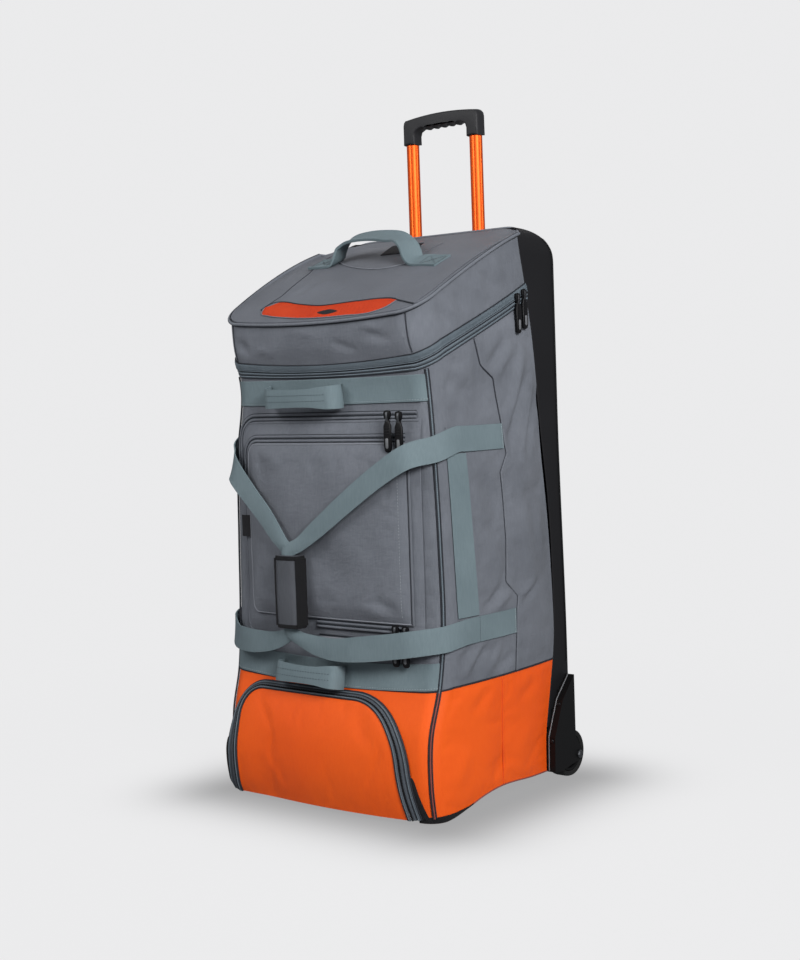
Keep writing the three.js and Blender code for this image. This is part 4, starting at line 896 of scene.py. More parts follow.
def boot_wall():
    piece = Piece()
    grid = wall_grid(WALL_RUNS, lower_at, lambda u: seam_at(u) - GAP, 44)
    grid = raised(grid, creases(grid[..., 1], grid[..., 2], BOOT_CREASES) * ON_SIDE)
    for part in SIDE_PARTS:
        sewn = abs(grid[:, part][..., 1] - BOOT_SEAM_Y) < 4
        grid[:, part] = settle(grid[:, part], pin_edges(sewn, 2), 0.006, 0.7, 3.0)
    x, y, z = np.moveaxis((grid[:-1, :-1] + grid[1:, 1:]) / 2, -1, 0)
    inside = (x > door_side(-1, z, DOORWAY_WIDER)) & (x < door_side(1, z, DOORWAY_WIDER))
    inside &= (z < DOOR_TOP + 8) & (y < 40)
    piece.shell(grid, CLOTH, ORANGE_CLOTH, keep=~inside)
    z = np.linspace(32, 192, 40)
    for side, _ in SIDES:
        wall_cord(piece, side_run(side, BOOT_SEAM_Y, z), z, 0.1, (0.8, 0.7), ORANGE_SEAM)
        wall_stitches(piece, side_run(side, BOOT_SEAM_Y + 5, z), z, 0.4, ORANGE_SEAM, 4.6, 3.0, 0.4)
    wall_cord(piece, WALL_RUNS, seam_at(WALL_RUNS), 0.6, (1.4, 1.2), DARK_PIPING)
    open_front = (wall_point(WALL_RUNS, 6)[:, 0] > door_side(1, 6.0, 9)) | (WALL_RUNS > 0.5)
    for part in (open_front, open_front[::-1]):
        u = WALL_RUNS[part]
        front = u[abs(u) < BINDING_END]
        wide = blend(1.0, 9.0, smooth(abs(front), BINDING_END, 0.6))
        z = lower_at(front) + 0.6 + np.linspace(0, 1, 5)[:, None] * wide
        piece.shell(skin(front, z, 1.6), 1.2, BLACK_BINDING)
        low = lower_at(u)
        piece.sweep(skin(u, low + 0.8, 0.2), wall_normal(u, low + 2), (1.1, 1.1), ROUND, PIPING_CORE)
    piece.make("boot_wall", "boot_fabric", "boot_body")


boot_wall()

# %% [markdown]
# The boot door is a bulging panel that is zipped along both sides and the top. The panel is settled with
# pressure between its sewn edges, so that it is full in the middle and dips along the zip.


# %% Boot door and its zip
DOOR_CREASES = [(-150, 160, -90, 120, 12, -1.7), (60, 150, 130, 110, 14, -1.7), (-120, 40, 20, 70, 26, 1.4),
                (100, 30, 140, 90, 14, 1.4)]
DOOR_LIFT, DOOR_FULL = 9, 5.5
# Each strip: how far outside the door each row lies, its lift there, thickness and finish.
BOOT_ZIP_STRIPS = [((19.4, 17.4, 15.4, 13.0), (1.6, 4.4, 5.0, 4.6), 1.6, ZIP_TAPE),
                   ((13.2, 11.6, 10.0, 8.2), (5.2, 6.4, 7.0, 7.0), 1.4, ZIP_TAPE),
                   ((8.4, 7.0, 5.6), (7.0, 6.8, 7.4), 1.2, DARK_PIPING),
                   ((5.4, 4.0, 2.4, 0.8), (8.6, 10.4, 10.4, 9.2), 1.6, ZIP_TAPE)]
# Each cord: how far outside the door, its lift, half width and half height, and finish.
BOOT_ZIP_CORDS = [(19.4, 2.0, (1.6, 1.6), DARK_PIPING), (13.1, 5.0, (0.8, 0.8), DARK_PIPING),
                  (0.7, 9.6, (1.4, 1.4), DARK_PIPING), (16.2, 5.3, (0.8, 0.6), KNIT_TAPE),
                  (3.2, 10.9, (0.8, 0.6), KNIT_TAPE)]
DOOR_ENDS = [(-1, 92), (1, 72)]


def on_front(x, z, lift):
    return skin(front_run(x, z), z, lift)


def bulge(x, z):
    """How far the left end of the doorway is pushed out, low down."""
    return (8 * smooth(-x, 90, 180) + 7 * smooth(-x, 160, 196)) * smooth(z, 150, 70) * smooth(z, -20, 30)


def boot_door():
    piece = Piece()
    z = door_heights(0, 18, 24)[:, None]
    t = np.linspace(0, 1, 67)[None]
    x = blend(door_side(-1, z), door_side(1, z), t)
    rise = (z - DOOR_LOW) / (DOOR_TOP - DOOR_LOW)
    lift = DOOR_LIFT + DOOR_FULL * 4 * t * (1 - t) * (1 - rise ** 3) + creases(x, z, DOOR_CREASES) * np.sin(math.pi * t)
    grid = on_front(x, z, lift + bulge(x, z))
    pinned = np.zeros(x.shape, bool)
    pinned[-2:], pinned[:, :2], pinned[:, -2:], pinned[0] = True, True, True, True
    piece.shell(settle(grid, pinned, 0.0015, 1.0, 2.0), CLOTH, ORANGE_CLOTH)
    piece.make("boot_door_panel", "boot_fabric", "boot_door")


def boot_zip():
    piece = Piece()

    def ring(grow, lift):
        z = door_heights(grow, 36, 34)
        left, right = (np.column_stack((door_side(side, z, grow), z)) for side in (-1, 1))
        over = blend(left[-1], right[-1], np.linspace(0, 1, 60)[1:-1, None])
        x, z = np.concatenate((left, over, right[::-1])).T
        u = front_run(x, z)
        return skin(u, z, lift + bulge(x, z)), wall_normal(u, z)

    for grows, lifts, thick, finish in BOOT_ZIP_STRIPS:
        piece.shell(np.stack([ring(g, lift)[0] for g, lift in zip(grows, lifts)])[::-1], thick, finish)
    piece.teeth(*ring(7.0, 7.0), BLACK_BINDING, width=3.0)
    for grow, lift, half, finish in BOOT_ZIP_CORDS:
        piece.sweep(*ring(grow, lift), half, ROUND, finish)
    for side, tall in DOOR_ENDS:
        z = np.linspace(DOOR_LOW + 1, tall, 24)[:, None]
        spread = (1 - (z - DOOR_LOW) / (tall - DOOR_LOW)) ** 0.4
        grow = 20.2 + np.array((0, 0.3, 0.6, 0.9, 1.1, 1.2)) * (1 + 7 * spread)
        x = door_side(side, z, grow)
        lift = (2.4 + bulge(x, z)) * np.array((1, 1.05, 1, 0.85, 0.45, 0)) + 0.4
        grid = on_front(x, z, lift)
        piece.shell(grid if side > 0 else grid[:, ::-1], 1.6, BLACK_BINDING)
    piece.make("boot_zip_band", "zip_tape", "boot_zip")


boot_door()
boot_zip()

# %% [markdown]
# The lid top slopes up to the back. It is a sheet with a quilted middle panel whose front edge lies over the
# vent as a flap. Dark seams run from the vent's ends to the lid's edge and to the back, and a facing with a
# light welt lies under the handle. Its cloth is the grey cloth made darker: painted shade on the lid's top.

# %% Lid top
LID_HALF = float(half_at(LID_FRONT))


def lid_front(x):
    radius = float(corner_at(LID_FRONT))
    flat = LID_HALF - radius
    f = np.minimum(1, abs(x) / flat)
    return front_at(LID_FRONT) + round_off(radius, abs(x) - flat) - CROWN * (1 - f * f)


def lid_rear(x):
    turn = BACK_HALF - 45
    return blend(283, 233, (np.maximum(0, abs(x) - turn) / (LID_HALF - turn)) ** 1.8)


def lid_point(x, y, lift=0.0):
    x, y = np.broadcast_arrays(np.asarray(x, float), np.asarray(y, float))
    b = np.clip((y - lid_front(x)) / (lid_rear(x) - lid_front(x)), 0, 1)
    swell = (1 - (x / LID_HALF) ** 2) * (7 * np.sin(math.pi * b) - 6 * (1 - b))
    return np.stack((x, y, lid_height(y) + swell + 4.1 + lift), -1)


def lid_normal(x, y):
    x, y = np.asarray(x, float), np.asarray(y, float)
    return unit(np.cross(lid_point(x + 1, y) - lid_point(x - 1, y), lid_point(x, y + 1) - lid_point(x, y - 1)))


def lid_cord(piece, x, y, lift, half, finish):
    piece.sweep(lid_point(x, y, lift), lid_normal(x, y), half, ROUND, finish)


vent_front = through([(-130, 17), (-125, 6), (-105, -2), (-60, -9), (-19, -13), (60, -14), (121, -11), (138, 0),
                      (143, 10)])
vent_rear = through([(-130, 20), (-125, 28), (-112, 31.5), (-56, 21), (-9, 14), (48, 17), (109, 19), (138, 14),
                     (143, 11)])


def quilted(columns=90, rows=64):
    """The middle panel between four edges: the vent's rear edge, the right edge, the back and the left seam."""
    vx = np.linspace(-112, 140, 60)
    front = np.concatenate(([(-133, 13)], np.column_stack((vx, vent_rear(vx))), [(186, -4)]))
    edges = [front, [(-161, 230), (193, 232)], [(-133, 13), (-121, 50), (-129, 122), (-157, 193), (-161, 230)],
             [(186, -4), (194, 30), (195, 120), (193, 232)]]
    flat = [evenly(np.column_stack((e, np.zeros(len(e)))), 0.5)[:, :2] for e in edges]
    front, rear, left, right = [e[np.linspace(0, len(e) - 1, n).round().astype(int)]
                                for e, n in zip(flat, (columns, columns, rows, rows))]
    s, t = np.linspace(0, 1, columns)[None, :, None], np.linspace(0, 1, rows)[:, None, None]
    across = blend(front[None], rear[None], t) + blend(left[:, None], right[:, None], s)
    return across - blend(blend(front[0], front[-1], s), blend(rear[0], rear[-1], s), t)


facing_edge = through([(-110, 167), (-50, 131), (11, 111), (44, 110), (74, 119)])
LID_CREASES = [(-190, 60, -150, 20, 12, -2.9), (-186, 140, -150, 70, 12, 2.3), (-160, 2, 60, -20, 9, -1.3),
               (-188, 222, -130, 262, 22, 10)]
PANEL_CREASES = [(-96, 34, -70, 90, 9, -3.4), (-80, 30, -56, 92, 9, 2.6), (-10, 22, 8, 70, 8, -2.1),
                 (60, 30, 130, 60, 12, 2.1), (120, 30, 180, 90, 12, -2.6), (100, 96, 170, 150, 14, 2.3)]


def over_back(x):
    """1 where the lid's rear edge lies on the roll of the back, 0 at the corners."""
    return 1 - smooth(abs(x), 140, 186)


def lid_seam(x):
    return lid_rear(x) + 10 * over_back(x)


def rear_lift(x, y):
    return 5 * over_back(x) * smooth(y, 236, 284)


def lid_top():
    piece = Piece()
    x = np.concatenate((np.linspace(-1, -0.8, 12)[:-1], np.linspace(-0.8, 0.8, 61), np.linspace(0.8, 1, 12)[1:]))
    x = x[None] * LID_HALF
    b = np.linspace(0, 1, 60)[:, None]
    y = blend(lid_front(x), lid_seam(x), b)
    lift = creases(x, y, LID_CREASES) * np.sin(math.pi * b) ** 0.5 + rear_lift(x, y)
    piece.shell(lid_point(x, y, lift), CLOTH, SHADED_LID_CLOTH)
    panel = quilted()
    px, py = panel[..., 0], panel[..., 1]
    t, u = np.linspace(0, 1, 64)[:, None], np.linspace(0, 1, 90)[None]
    inner = np.sin(math.pi * t) * np.sin(math.pi * u) ** 0.5
    rows = 0.3 * np.sin(py * 2 * math.pi / 8 + 1.5 * np.sin(px / 23)) * inner * np.clip((150 - py) / 60, 0, 1)
    piece.shell(lid_point(px, py, 1.5 + rows + creases(px, py, PANEL_CREASES) * inner), 1.3, SHADED_LID_CLOTH)
    for line in (panel[:, 0], panel[0, 55:]):
        lid_cord(piece, *line.T, 1.2, (1.1, 1.0), DARK_THREAD_AND_SEAM_SHADE)
    fx = np.linspace(-108, 74, 50)[None]
    arc = facing_edge(fx)
    fy = blend(arc, np.maximum(arc + 4, 226 - 0.14 * fx), np.linspace(0, 1, 24)[:, None])
    piece.shell(lid_point(fx, fy, 2.5), 1.0, SHADED_LID_CLOTH)
    lid_cord(piece, fx[0], fy[0], 2.5, (0.9, 0.8), LIGHT_CLOTH)
    piece.make("lid_cover", "body_fabric", "lid_top")


lid_top()

# %% [markdown]
# The vent is a crescent of mesh with a bound edge and a small plain black lozenge sewn at its front. The lid's
# edge is a thick piped seam, swept as one closed loop so that it has no loose ends. A plain black tag stands a
# little tilted behind the handle.


# %% Vent, piping and labels
VENT_LEFT, VENT_WIDE, LOZENGE_SIZE, LOZENGE_PLACE = -130, 273, (21, 5.4), (20, -3)
TAG_X, TAG_Y, TAG_TILT = (-15, 48), (167, 198), 5


def lid_vent():
    piece = Piece()
    x = VENT_LEFT + VENT_WIDE * (1 - np.cos(np.linspace(0, math.pi, 80))) / 2
    front, rear = vent_front(x), vent_rear(x)
    t = np.linspace(0, 1, 14)[:, None]
    y = blend(front[None], rear[None] + 1.5, t)
    piece.shell(lid_point(x, y, 0.9 + 0.7 * np.sin(math.pi * t)), 0.8, VENT_MESH)
    lid_cord(piece, x, front, 1.0, (0.9, 0.8), GREY_CLOTH)
    lid_cord(piece, x, rear, 1.9, (0.8, 0.7), DARK_PIPING)
    lozenge = oval(40, 4 / 3) * LOZENGE_SIZE
    rows = np.stack([lid_point(*(lozenge * k + LOZENGE_PLACE).T, lift)
                     for k, lift in ((1, 1.4), (0.9, 2.4), (0.5, 2.7), (0.02, 2.8))])
    piece.shell(np.concatenate((rows, rows[:, :1]), 1), 0.8, LABEL_WEAVE, hem=0.0)
    piece.make("vent_panel", "vent_mesh", "lid_vent")


def lid_piping():
    u = runs(4)
    z = lid_edge(u)
    piece = Piece()
    path, out = skin(u, z, 3.0), wall_normal(u, z)
    x = np.linspace(196, -196, 90)
    rear = lid_point(x, lid_seam(x), rear_lift(x, lid_seam(x)) - 0.6)
    outward = unit(np.column_stack((x / 200 * abs(x / 200) ** 3, np.ones(90), np.full(90, 0.4))))
    loop, faced = np.concatenate((path, rear)), np.concatenate((out, outward))
    piece.sweep(loop, faced, (2.4, 2.4), oval(14), GREY_CLOTH, closed=True)
    for up, lift, radius in ((-2.9, 1.0, 0.9), (2.3, 2.2, 0.7)):
        piece.sweep(skin(u, z + up, lift), out, (radius, radius), ROUND, DARK_PIPING)
    piece.make("lid_edge_piping", "body_fabric", "lid_piping")


def lid_label():
    piece = Piece()
    x, y = np.meshgrid(np.linspace(*TAG_X, 17), np.linspace(*TAG_Y, 10))
    lift = 4.0 + TAG_TILT * (y - TAG_Y[0]) / (TAG_Y[1] - TAG_Y[0])
    piece.shell(lid_point(x, y, lift), 1.2, LABEL_WEAVE)
    for row, inset in ((0, 1.4), (-1, -1.4)):
        line = lid_point(x[row, 1:-1], y[row, 1:-1] + inset, lift[row, 1:-1] + 0.2)
        piece.stitches(line, (0, 0, 1), DARK_THREAD_AND_SEAM_SHADE, 2.6, 1.8, 0.3)
    piece.make("lid_tag", "label", "lid_label")


lid_vent()
lid_piping()
lid_label()

# %% [markdown]
# The lid handle is doubled webbing: flat feet sewn to the lid with a stitched box and cross, and an arch
# between them for the hand. Its line is a table of x and lift, and a smooth route is laid through it.


# %% Lid handle
HANDLE_LINE = [(-146, 0), (-118, 0), (-99, 0.6), (-92, 5), (-87, 15), (-79, 26), (-60, 35), (-30, 39), (5, 39.5),
               (40, 37), (62, 32), (75, 22), (80, 12), (85, 3), (94, 0.5), (118, 0), (146, 0)]
STITCHED_BOX = [(144, -15), (144, 15), (108, 15), (108, -15), (144, -15), (108, 15)]
STITCHED_CROSS = [(144, 15), (108, -15)]


def handle_y(x):
    return 138 - 0.14 * x


def lid_handle():
    piece = Piece()
    stations = []
    for x, lift in HANDLE_LINE:
        turn = np.sign(x) if 2 < lift < 33 else 0
        out = unit(lid_normal(x, handle_y(x)) + np.array((turn, 0, 0)))
        stations.append((*lid_point(x, handle_y(x), GAP + 5.4 + lift), *out))
    path, out, _ = route(stations, 4)
    piece.sweep(path - out * 2, out, (WEB_WIDE / 2, 2), FLAT, WEBBING, bow=-1.2)
    across = across_path(path, out)
    for shift in (-17, 17):
        piece.sweep(path + across * shift - out * 0.6, out, (1.0, 0.9), ROUND, WEBBING)
    for side, _ in SIDES:
        for chain in (STITCHED_BOX, STITCHED_CROSS):
            for a, b in zip(chain, chain[1:]):
                x, y = np.linspace(a, b, 12).T * ((side,), (1,))
                line = lid_point(x, handle_y(x) + y, GAP + 4.9)
                piece.stitches(line, (0, 0, 1), DARK_THREAD_AND_SEAM_SHADE, 3.6, 2.8, 0.4)
    piece.make("lid_carry_handle", "webbing", "lid_handle")


lid_handle()

# %% [markdown]
# Two pockets lie on each other on the front: a large outer one and a smaller one on it. Each is a shallow
# cushion of cloth that is pinned at its sewn edge and settled, with a welt round its edge.

# %% Pockets
OUTER = dict(left=-176.5, right=180, bottom=252, top=588, radius=26)
INNER = dict(left=-156, right=166, bottom=288, top=554.5, radius=20)
POCKET_CLOTH, ZIP_SEAT = 2.2, 0.9


def plateau(f):
    t = np.clip(np.minimum(f, 1 - f) / 0.08, 0, 1)
    return t * (1.6 - 0.6 * t)


def pocket_swell(pocket, x, z):
    fx = np.clip((x - pocket["left"]) / (pocket["right"] - pocket["left"]), 0, 1)
    fz = np.clip((z - pocket["bottom"]) / (pocket["top"] - pocket["bottom"]), 0, 1)
    return 6 * plateau(fx) * plateau(fz) + 4 * 16 * fx * (1 - fx) * fz * (1 - fz)


def outer_lift(x, z):
    return GAP + POCKET_CLOTH + pocket_swell(OUTER, x, z)


def inner_lift(x, z):
    return outer_lift(x, z) + ZIP_SEAT + POCKET_CLOTH + pocket_swell(INNER, x, z)


def pocket_normal(lift_at, x, z):
    x, z = np.asarray(x, float), np.asarray(z, float)
    along = on_front(x + 1, z, lift_at(x + 1, z)) - on_front(x - 1, z, lift_at(x - 1, z))
    up = on_front(x, z + 1, lift_at(x, z + 1)) - on_front(x, z - 1, lift_at(x, z - 1))
    return unit(np.cross(along, up))


def pocket_left(pocket, z):
    near = np.minimum(z - pocket["bottom"], pocket["top"] - z)
    return pocket["left"] + round_off(pocket["radius"], pocket["radius"] - near)


def pocket_steps(count):
    ends = np.array((0, 0.008, 0.018, 0.032, 0.05, 0.07))
    return np.concatenate((ends, np.linspace(0.09, 0.91, count), 1 - ends[::-1]))


OUTER_CREASES = [(x, 562, x + tilt, 588, 4.5, high) for x, tilt, high in
                 ((-110, 5, 1.2), (-64, -4, -1.3), (-30, 3, 1.2), (6, -4, -1.5), (48, 4, 1.3), (70, -3, -1.3),
                  (96, 4, 1.4))]
OUTER_CREASES += [(-172, 540, -158, 470, 5, 1.2), (168, 560, 178, 500, 5, -1.2), (-170, 300, -150, 262, 6, 1.4),
                  (60, 262, 140, 270, 5, 1.0)]
INNER_CREASES = [(-146, 548, -100, 500, 12, -2.3), (-120, 552, -70, 516, 10, 2.1), (20, 540, 130, 520, 16, -1.8),
                 (-40, 420, 60, 330, 26, -2.6), (20, 440, 110, 350, 22, 2.3), (90, 330, 156, 296, 10, -2.9),
                 (60, 312, 150, 300, 8, 2.1), (-150, 340, -96, 294, 10, 2.1)]


def pocket(name, shape, lift_at, node, cap, lines):
    piece = Piece()
    z = blend(shape["bottom"], shape["top"], pocket_steps(64))[:, None]
    t = pocket_steps(62)[None]
    x = blend(pocket_left(shape, z), shape["right"], t)
    grid = on_front(x, z, lift_at(x, z) + creases(x, z, lines) * plateau(t))
    grid = settle(grid, pin_edges(np.zeros(x.shape, bool), 6), 0.006, 0.25, cap)
    piece.shell(grid, POCKET_CLOTH, GREY_CLOTH)
    edge = np.concatenate((grid[-2, -2:0:-1], grid[-2:1:-1, 1], grid[1, 1:-1]))
    piece.sweep(edge, (0, -1, 0), (1.1, 1.1), ROUND, LIGHT_CLOTH if node == "inner_pocket" else GREY_CLOTH)
    if node == "inner_pocket":
        piece.sweep(grid[1:-1, -2] + (0.6, -0.4, 0), (0, -1, 0), (0.9, 0.9), ROUND, DARK_THREAD_AND_SEAM_SHADE)
        piece.stitches(grid[4:-4, -5] + (0, -0.3, 0), (0, -1, 0), PALE_THREAD, 4.6, 3.0, 0.4)
    else:
        x = np.linspace(-16, 172, 60)
        for z, high, finish in ((264, 0.7, DARK_PIPING), (259.5, 1.4, LIGHT_CLOTH), (255.4, 0.7, DARK_PIPING)):
            line = on_front(x, z, lift_at(x, z) + 0.4)
            piece.sweep(line, (0, -1, 0), (high * 1.5, high), ROUND, finish)
    piece.make(name, "body_fabric", node)


pocket("outer_pocket_cloth", OUTER, outer_lift, "outer_pocket", 1.2, OUTER_CREASES)
pocket("inner_pocket_cloth", INNER, inner_lift, "inner_pocket", 1.6, INNER_CREASES)

# %% [markdown]
# Each pocket zip is a tape with a lip of cloth on each side of the coil. The pulls are moulded sliders with a
# bail and a long tab: rows of ovals that widen and narrow on the way down, so one table holds the whole shape.
# A pale bar low on each tab is a painted highlight.

# %% Pocket zips and pulls
ZIP_WIDE = 11


def zip_strip(name, route_points, base_at, node):
    rows = evenly(np.column_stack((route_points, np.zeros(len(route_points)))), 4)
    x, z = rows[:, 0], rows[:, 1]
    base, out = on_front(x, z, base_at(x, z)), pocket_normal(base_at, x, z)
    across = across_path(base, out)
    piece = Piece()
    piece.sweep(base + out * 0.6, out, (ZIP_WIDE / 2, 0.6), FLAT, ZIP_TAPE)
    for side in (-1, 1):
        piece.sweep(base + across * side * 3.3 + out * 1.3, out, (1.9, 1.1), ROUND, GREY_CLOTH)
        piece.sweep(base + across * side * 5.5 + out * 0.7, out, (0.9, 0.9), ROUND, DARK_PIPING)
    piece.teeth(base + out * 1.0, out, DARK_PIPING, width=2.2, high=1.0)
    piece.make(name, "zip_tape", node)


def corner_route(shape, down):
    away = ZIP_WIDE / 2 + 1
    radius = shape["radius"] + away
    left, top = shape["left"] - away, shape["top"] + away
    turn = np.linspace(0, math.pi / 2, 14)
    arc = np.column_stack((left + radius * (1 - np.sin(turn)), top - radius * (1 - np.cos(turn))))
    return np.concatenate(([(shape["right"] - 7, top)], arc, [(left, down)]))


def seat(x, z):
    return 0 * x + ZIP_SEAT


def on_outer(x, z):
    return outer_lift(x, z) + ZIP_SEAT


LOWER_ZIP_Z = INNER["bottom"] - ZIP_WIDE / 2 - 2
zip_strip("outer_zip_tape", corner_route(OUTER, 470), seat, "outer_zip")
zip_strip("inner_zip_tape", corner_route(INNER, 500), on_outer, "inner_zip")
zip_strip("lower_zip_tape", np.array([(153, LOWER_ZIP_Z), (-16, LOWER_ZIP_Z)]), on_outer, "lower_zip")


# Bars of a pull: how far down, how far out, half width and half thickness at each station.
SLIDER = [(0.2, 1.6, 2.4, 0.8), (1, 1.9, 5.4, 1.7), (4, 2.0, 6.6, 2.2), (9, 2.0, 6.0, 2.2), (13, 1.8, 4.6, 1.8),
          (14.8, 1.6, 1.6, 0.6)]
BAIL = [(2.4, 3.2, 1.8, 0.6), (4.4, 4.6, 2.2, 0.8), (10, 4.7, 2.2, 0.8), (17, 3.4, 2.0, 0.7)]
TAB = [(13.6, 2.4, 1.0, 0.5), (14.6, 2.4, 4.2, 1.6), (18, 2.4, 4.6, 2.1), (23, 2.6, 6.6, 2.6), (52, 2.6, 6.6, 2.6),
       (58, 2.4, 5.8, 2.2), (60.4, 2.3, 4.2, 1.4), (61, 2.2, 1.4, 0.6)]
# A pale bar low on the tab: a painted highlight.
TAB_HIGHLIGHT = [(40, 4.7, 0.8, 0.3), (41.5, 5.0, 2.6, 0.6), (54, 5.0, 2.6, 0.6), (55.5, 4.7, 0.8, 0.3)]
RIDGES = [[(z - 1, 4.8, 4.4, 0.3), (z, 5.1, 5.0, 0.7), (z + 1, 4.8, 4.4, 0.3)] for z in (26, 30, 34)]
PULL_BARS = [(SLIDER, 4, PULL_PLASTIC), (BAIL, 3, STEEL), (TAB, 4, PULL_PLASTIC), (TAB_HIGHLIGHT, 4, HIGHLIGHT_PLASTIC)]
PULL_BARS += [(ridge, 3, PULL_PLASTIC) for ridge in RIDGES]


def zip_pull(name, node, top, out):
    """A slider, its bail and a hanging tab, from the top of the slider down."""
    piece = Piece()
    for bar, power, finish in PULL_BARS:
        down, away, *half = np.array(bar, float).T[..., None]
        path = np.array(top) - down * (0, 0, 1) + away * np.array(out)
        piece.sweep(path, out, np.hstack(half), oval(16, power), finish)
    piece.make(name, "black_plastic", node)


for number in (1, 2):
    for place in ("outer", "lower"):
        low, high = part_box(f"{place}_pull_{number}")
        spot = ((low.x + high.x) / 2 / MM, high.y / MM - SHIFT, high.z / MM)
        zip_pull(f"{place}_zip_tab_{number}", f"{place}_pull_{number}", spot, (0, -1, 0))
    low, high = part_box(f"lid_zip_pull_{number}")
    spot = (low.x / MM, (low.y + high.y) / 2 / MM - SHIFT, high.z / MM)
    zip_pull(f"lid_zip_tab_{number}", f"lid_zip_pull_{number}", spot, (1, 0, 0))


LABEL_X, LABEL_Z = (-178, -157), (408.5, 441.5)


def pocket_label():
    piece = Piece()
    x, z = np.meshgrid(np.linspace(*LABEL_X, 9), np.linspace(*LABEL_Z, 15))
    piece.shell(on_front(x, z, outer_lift(x + 18, z) + GAP + 1.4), 1.3, LABEL_WEAVE)
    piece.make("pocket_tab", "label", "pocket_label")


pocket_label()

# %% [markdown]
# Webbing bands cross the front under the lid and above the boot. A padded grab loop is sewn on each band, with
# a folded end and two rows of stitches.

# %% Bands and grab loops
BAND_END = 0.53
BANDS = {"upper": dict(z=633, sag=2, start=-112, end=44, drop=7),
         "lower": dict(z=220, sag=13, start=-94, end=40, drop=6)}
# The loop's line: how far along, how far out and how far down, each as a share.
LOOP_LINE = [(0, 0, 0.6), (0.03, 0.04, 0.7), (0.06, 0.5, 0.85), (0.12, 0.86, 0.95), (0.25, 0.97, 1), (0.5, 1, 1),
             (0.7, 0.98, 1), (0.86, 0.92, 1), (0.94, 0.86, 0.98), (0.985, 0.68, 0.96), (1, 0.4, 0.94),
             (0.99, 0.12, 0.92), (0.95, 0, 0.9)]


def band_height(band, u):
    return band["z"] - band["sag"] * sag_share(u)


def band(name):
    shape = BANDS[name]
    u = np.concatenate(([-BAND_END], WALL_RUNS[abs(WALL_RUNS) < BAND_END - 0.004], [BAND_END]))
    piece = Piece()
    z = band_height(shape, u)[None] + np.linspace(-0.5, 0.5, 9)[:, None] * WEB_WIDE
    piece.shell(skin(u, z, GAP + WEB), WEB, WEBBING)
    wall_stitches(piece, u, band_height(shape, u) - 16.5, GAP + WEB + 0.2, PALE_THREAD, 4.6, 3.4, 0.45)
    piece.make(f"{name}_webbing_band", "webbing", f"{name}_band")


def grab_loop(name):
    shape = BANDS[name]
    stations = []
    for t, out, fall in LOOP_LINE:
        x = blend(shape["start"], shape["end"], t)
        z = band_height(shape, front_run(x, shape["z"])) - shape["drop"] * fall
        turn = np.sign(t - 0.5) * (1.8 if 0.03 < out < 0.82 else 0)
        normal = unit(wall_normal(front_run(x, z), z) + np.array((turn, 0, 0)))
        stations.append((*on_front(x, z, GAP + WEB + ZIP_SEAT + 3.2 + 29 * out), *normal))
    path, out, _ = route(stations, 3)
    piece = Piece()
    share = lengths(path) / lengths(path)[-1]
    wide = 16 + 2 * smooth(share, 0.62, 0.8) - 2.5 * np.sin(math.pi * share) ** 2
    half = np.column_stack((wide, np.full(len(path), 1.6)))
    piece.sweep(path - out * 1.6, out, half, FLAT, WEBBING, bow=0.8)
    across = across_path(path, out)
    flat = slice(len(path) // 8, -len(path) // 5)
    for shift in (-4.5, 4.5):
        piece.stitches((path + across * shift + out * 0.9)[flat], out[flat], DARK_THREAD_AND_SEAM_SHADE, 5.4, 3.8, 0.5)
    piece.make(f"{name}_grab_loop", "webbing", f"{name}_grab")


for level in BANDS:
    band(level)
    grab_loop(level)

# %% [markdown]
# Two carrying straps start at sewn ends on the sides, cross the front and meet in a padded wrap, where the
# webbing is gathered. The webbing keeps its width, so where it is gathered it bows outwards.

# %% Straps
GATHERED, GATHER_BOW, GATHER_X = 22, 0.14, -46
WRAP = dict(x=-43, y=-38, low=277, high=387, wide=48, deep=27)
SEWN = [(186, 0), (148, 0.3), (110, 0.2), (78, 0.8), (56, 2.6)]
STRAPS = {
    "left": dict(side=-1, depth=-37.4, lifts=(8, 10),
                 upper=[(-174, -20, 512, 36), (-128, -28, 470, 33), (-98, -32, 444, 31), (-72, -35, 416, 27),
                        (-58, -36, 402, 22)],
                 lower=[(-60, -36, 262, 22), (-84, -36, 254, 28), (-116, -34, 250, 34), (-150, -29, 249, 38),
                        (-182, -18, 251, 38)]),
    "right": dict(side=1, depth=-40.4, lifts=(9, 9),
                  upper=[(176, -20, 535, 37), (125, -29, 506, 34), (69, -34, 468, 32), (12, -38, 427, 28),
                         (-22, -39, 404, 22)],
                  lower=[(-30, -39, 262, 22), (2, -38, 253, 30), (40, -37, 249, 34), (88, -34, 253, 38),
                         (140, -29, 260, 38), (180, -19, 266, 38)]),
}


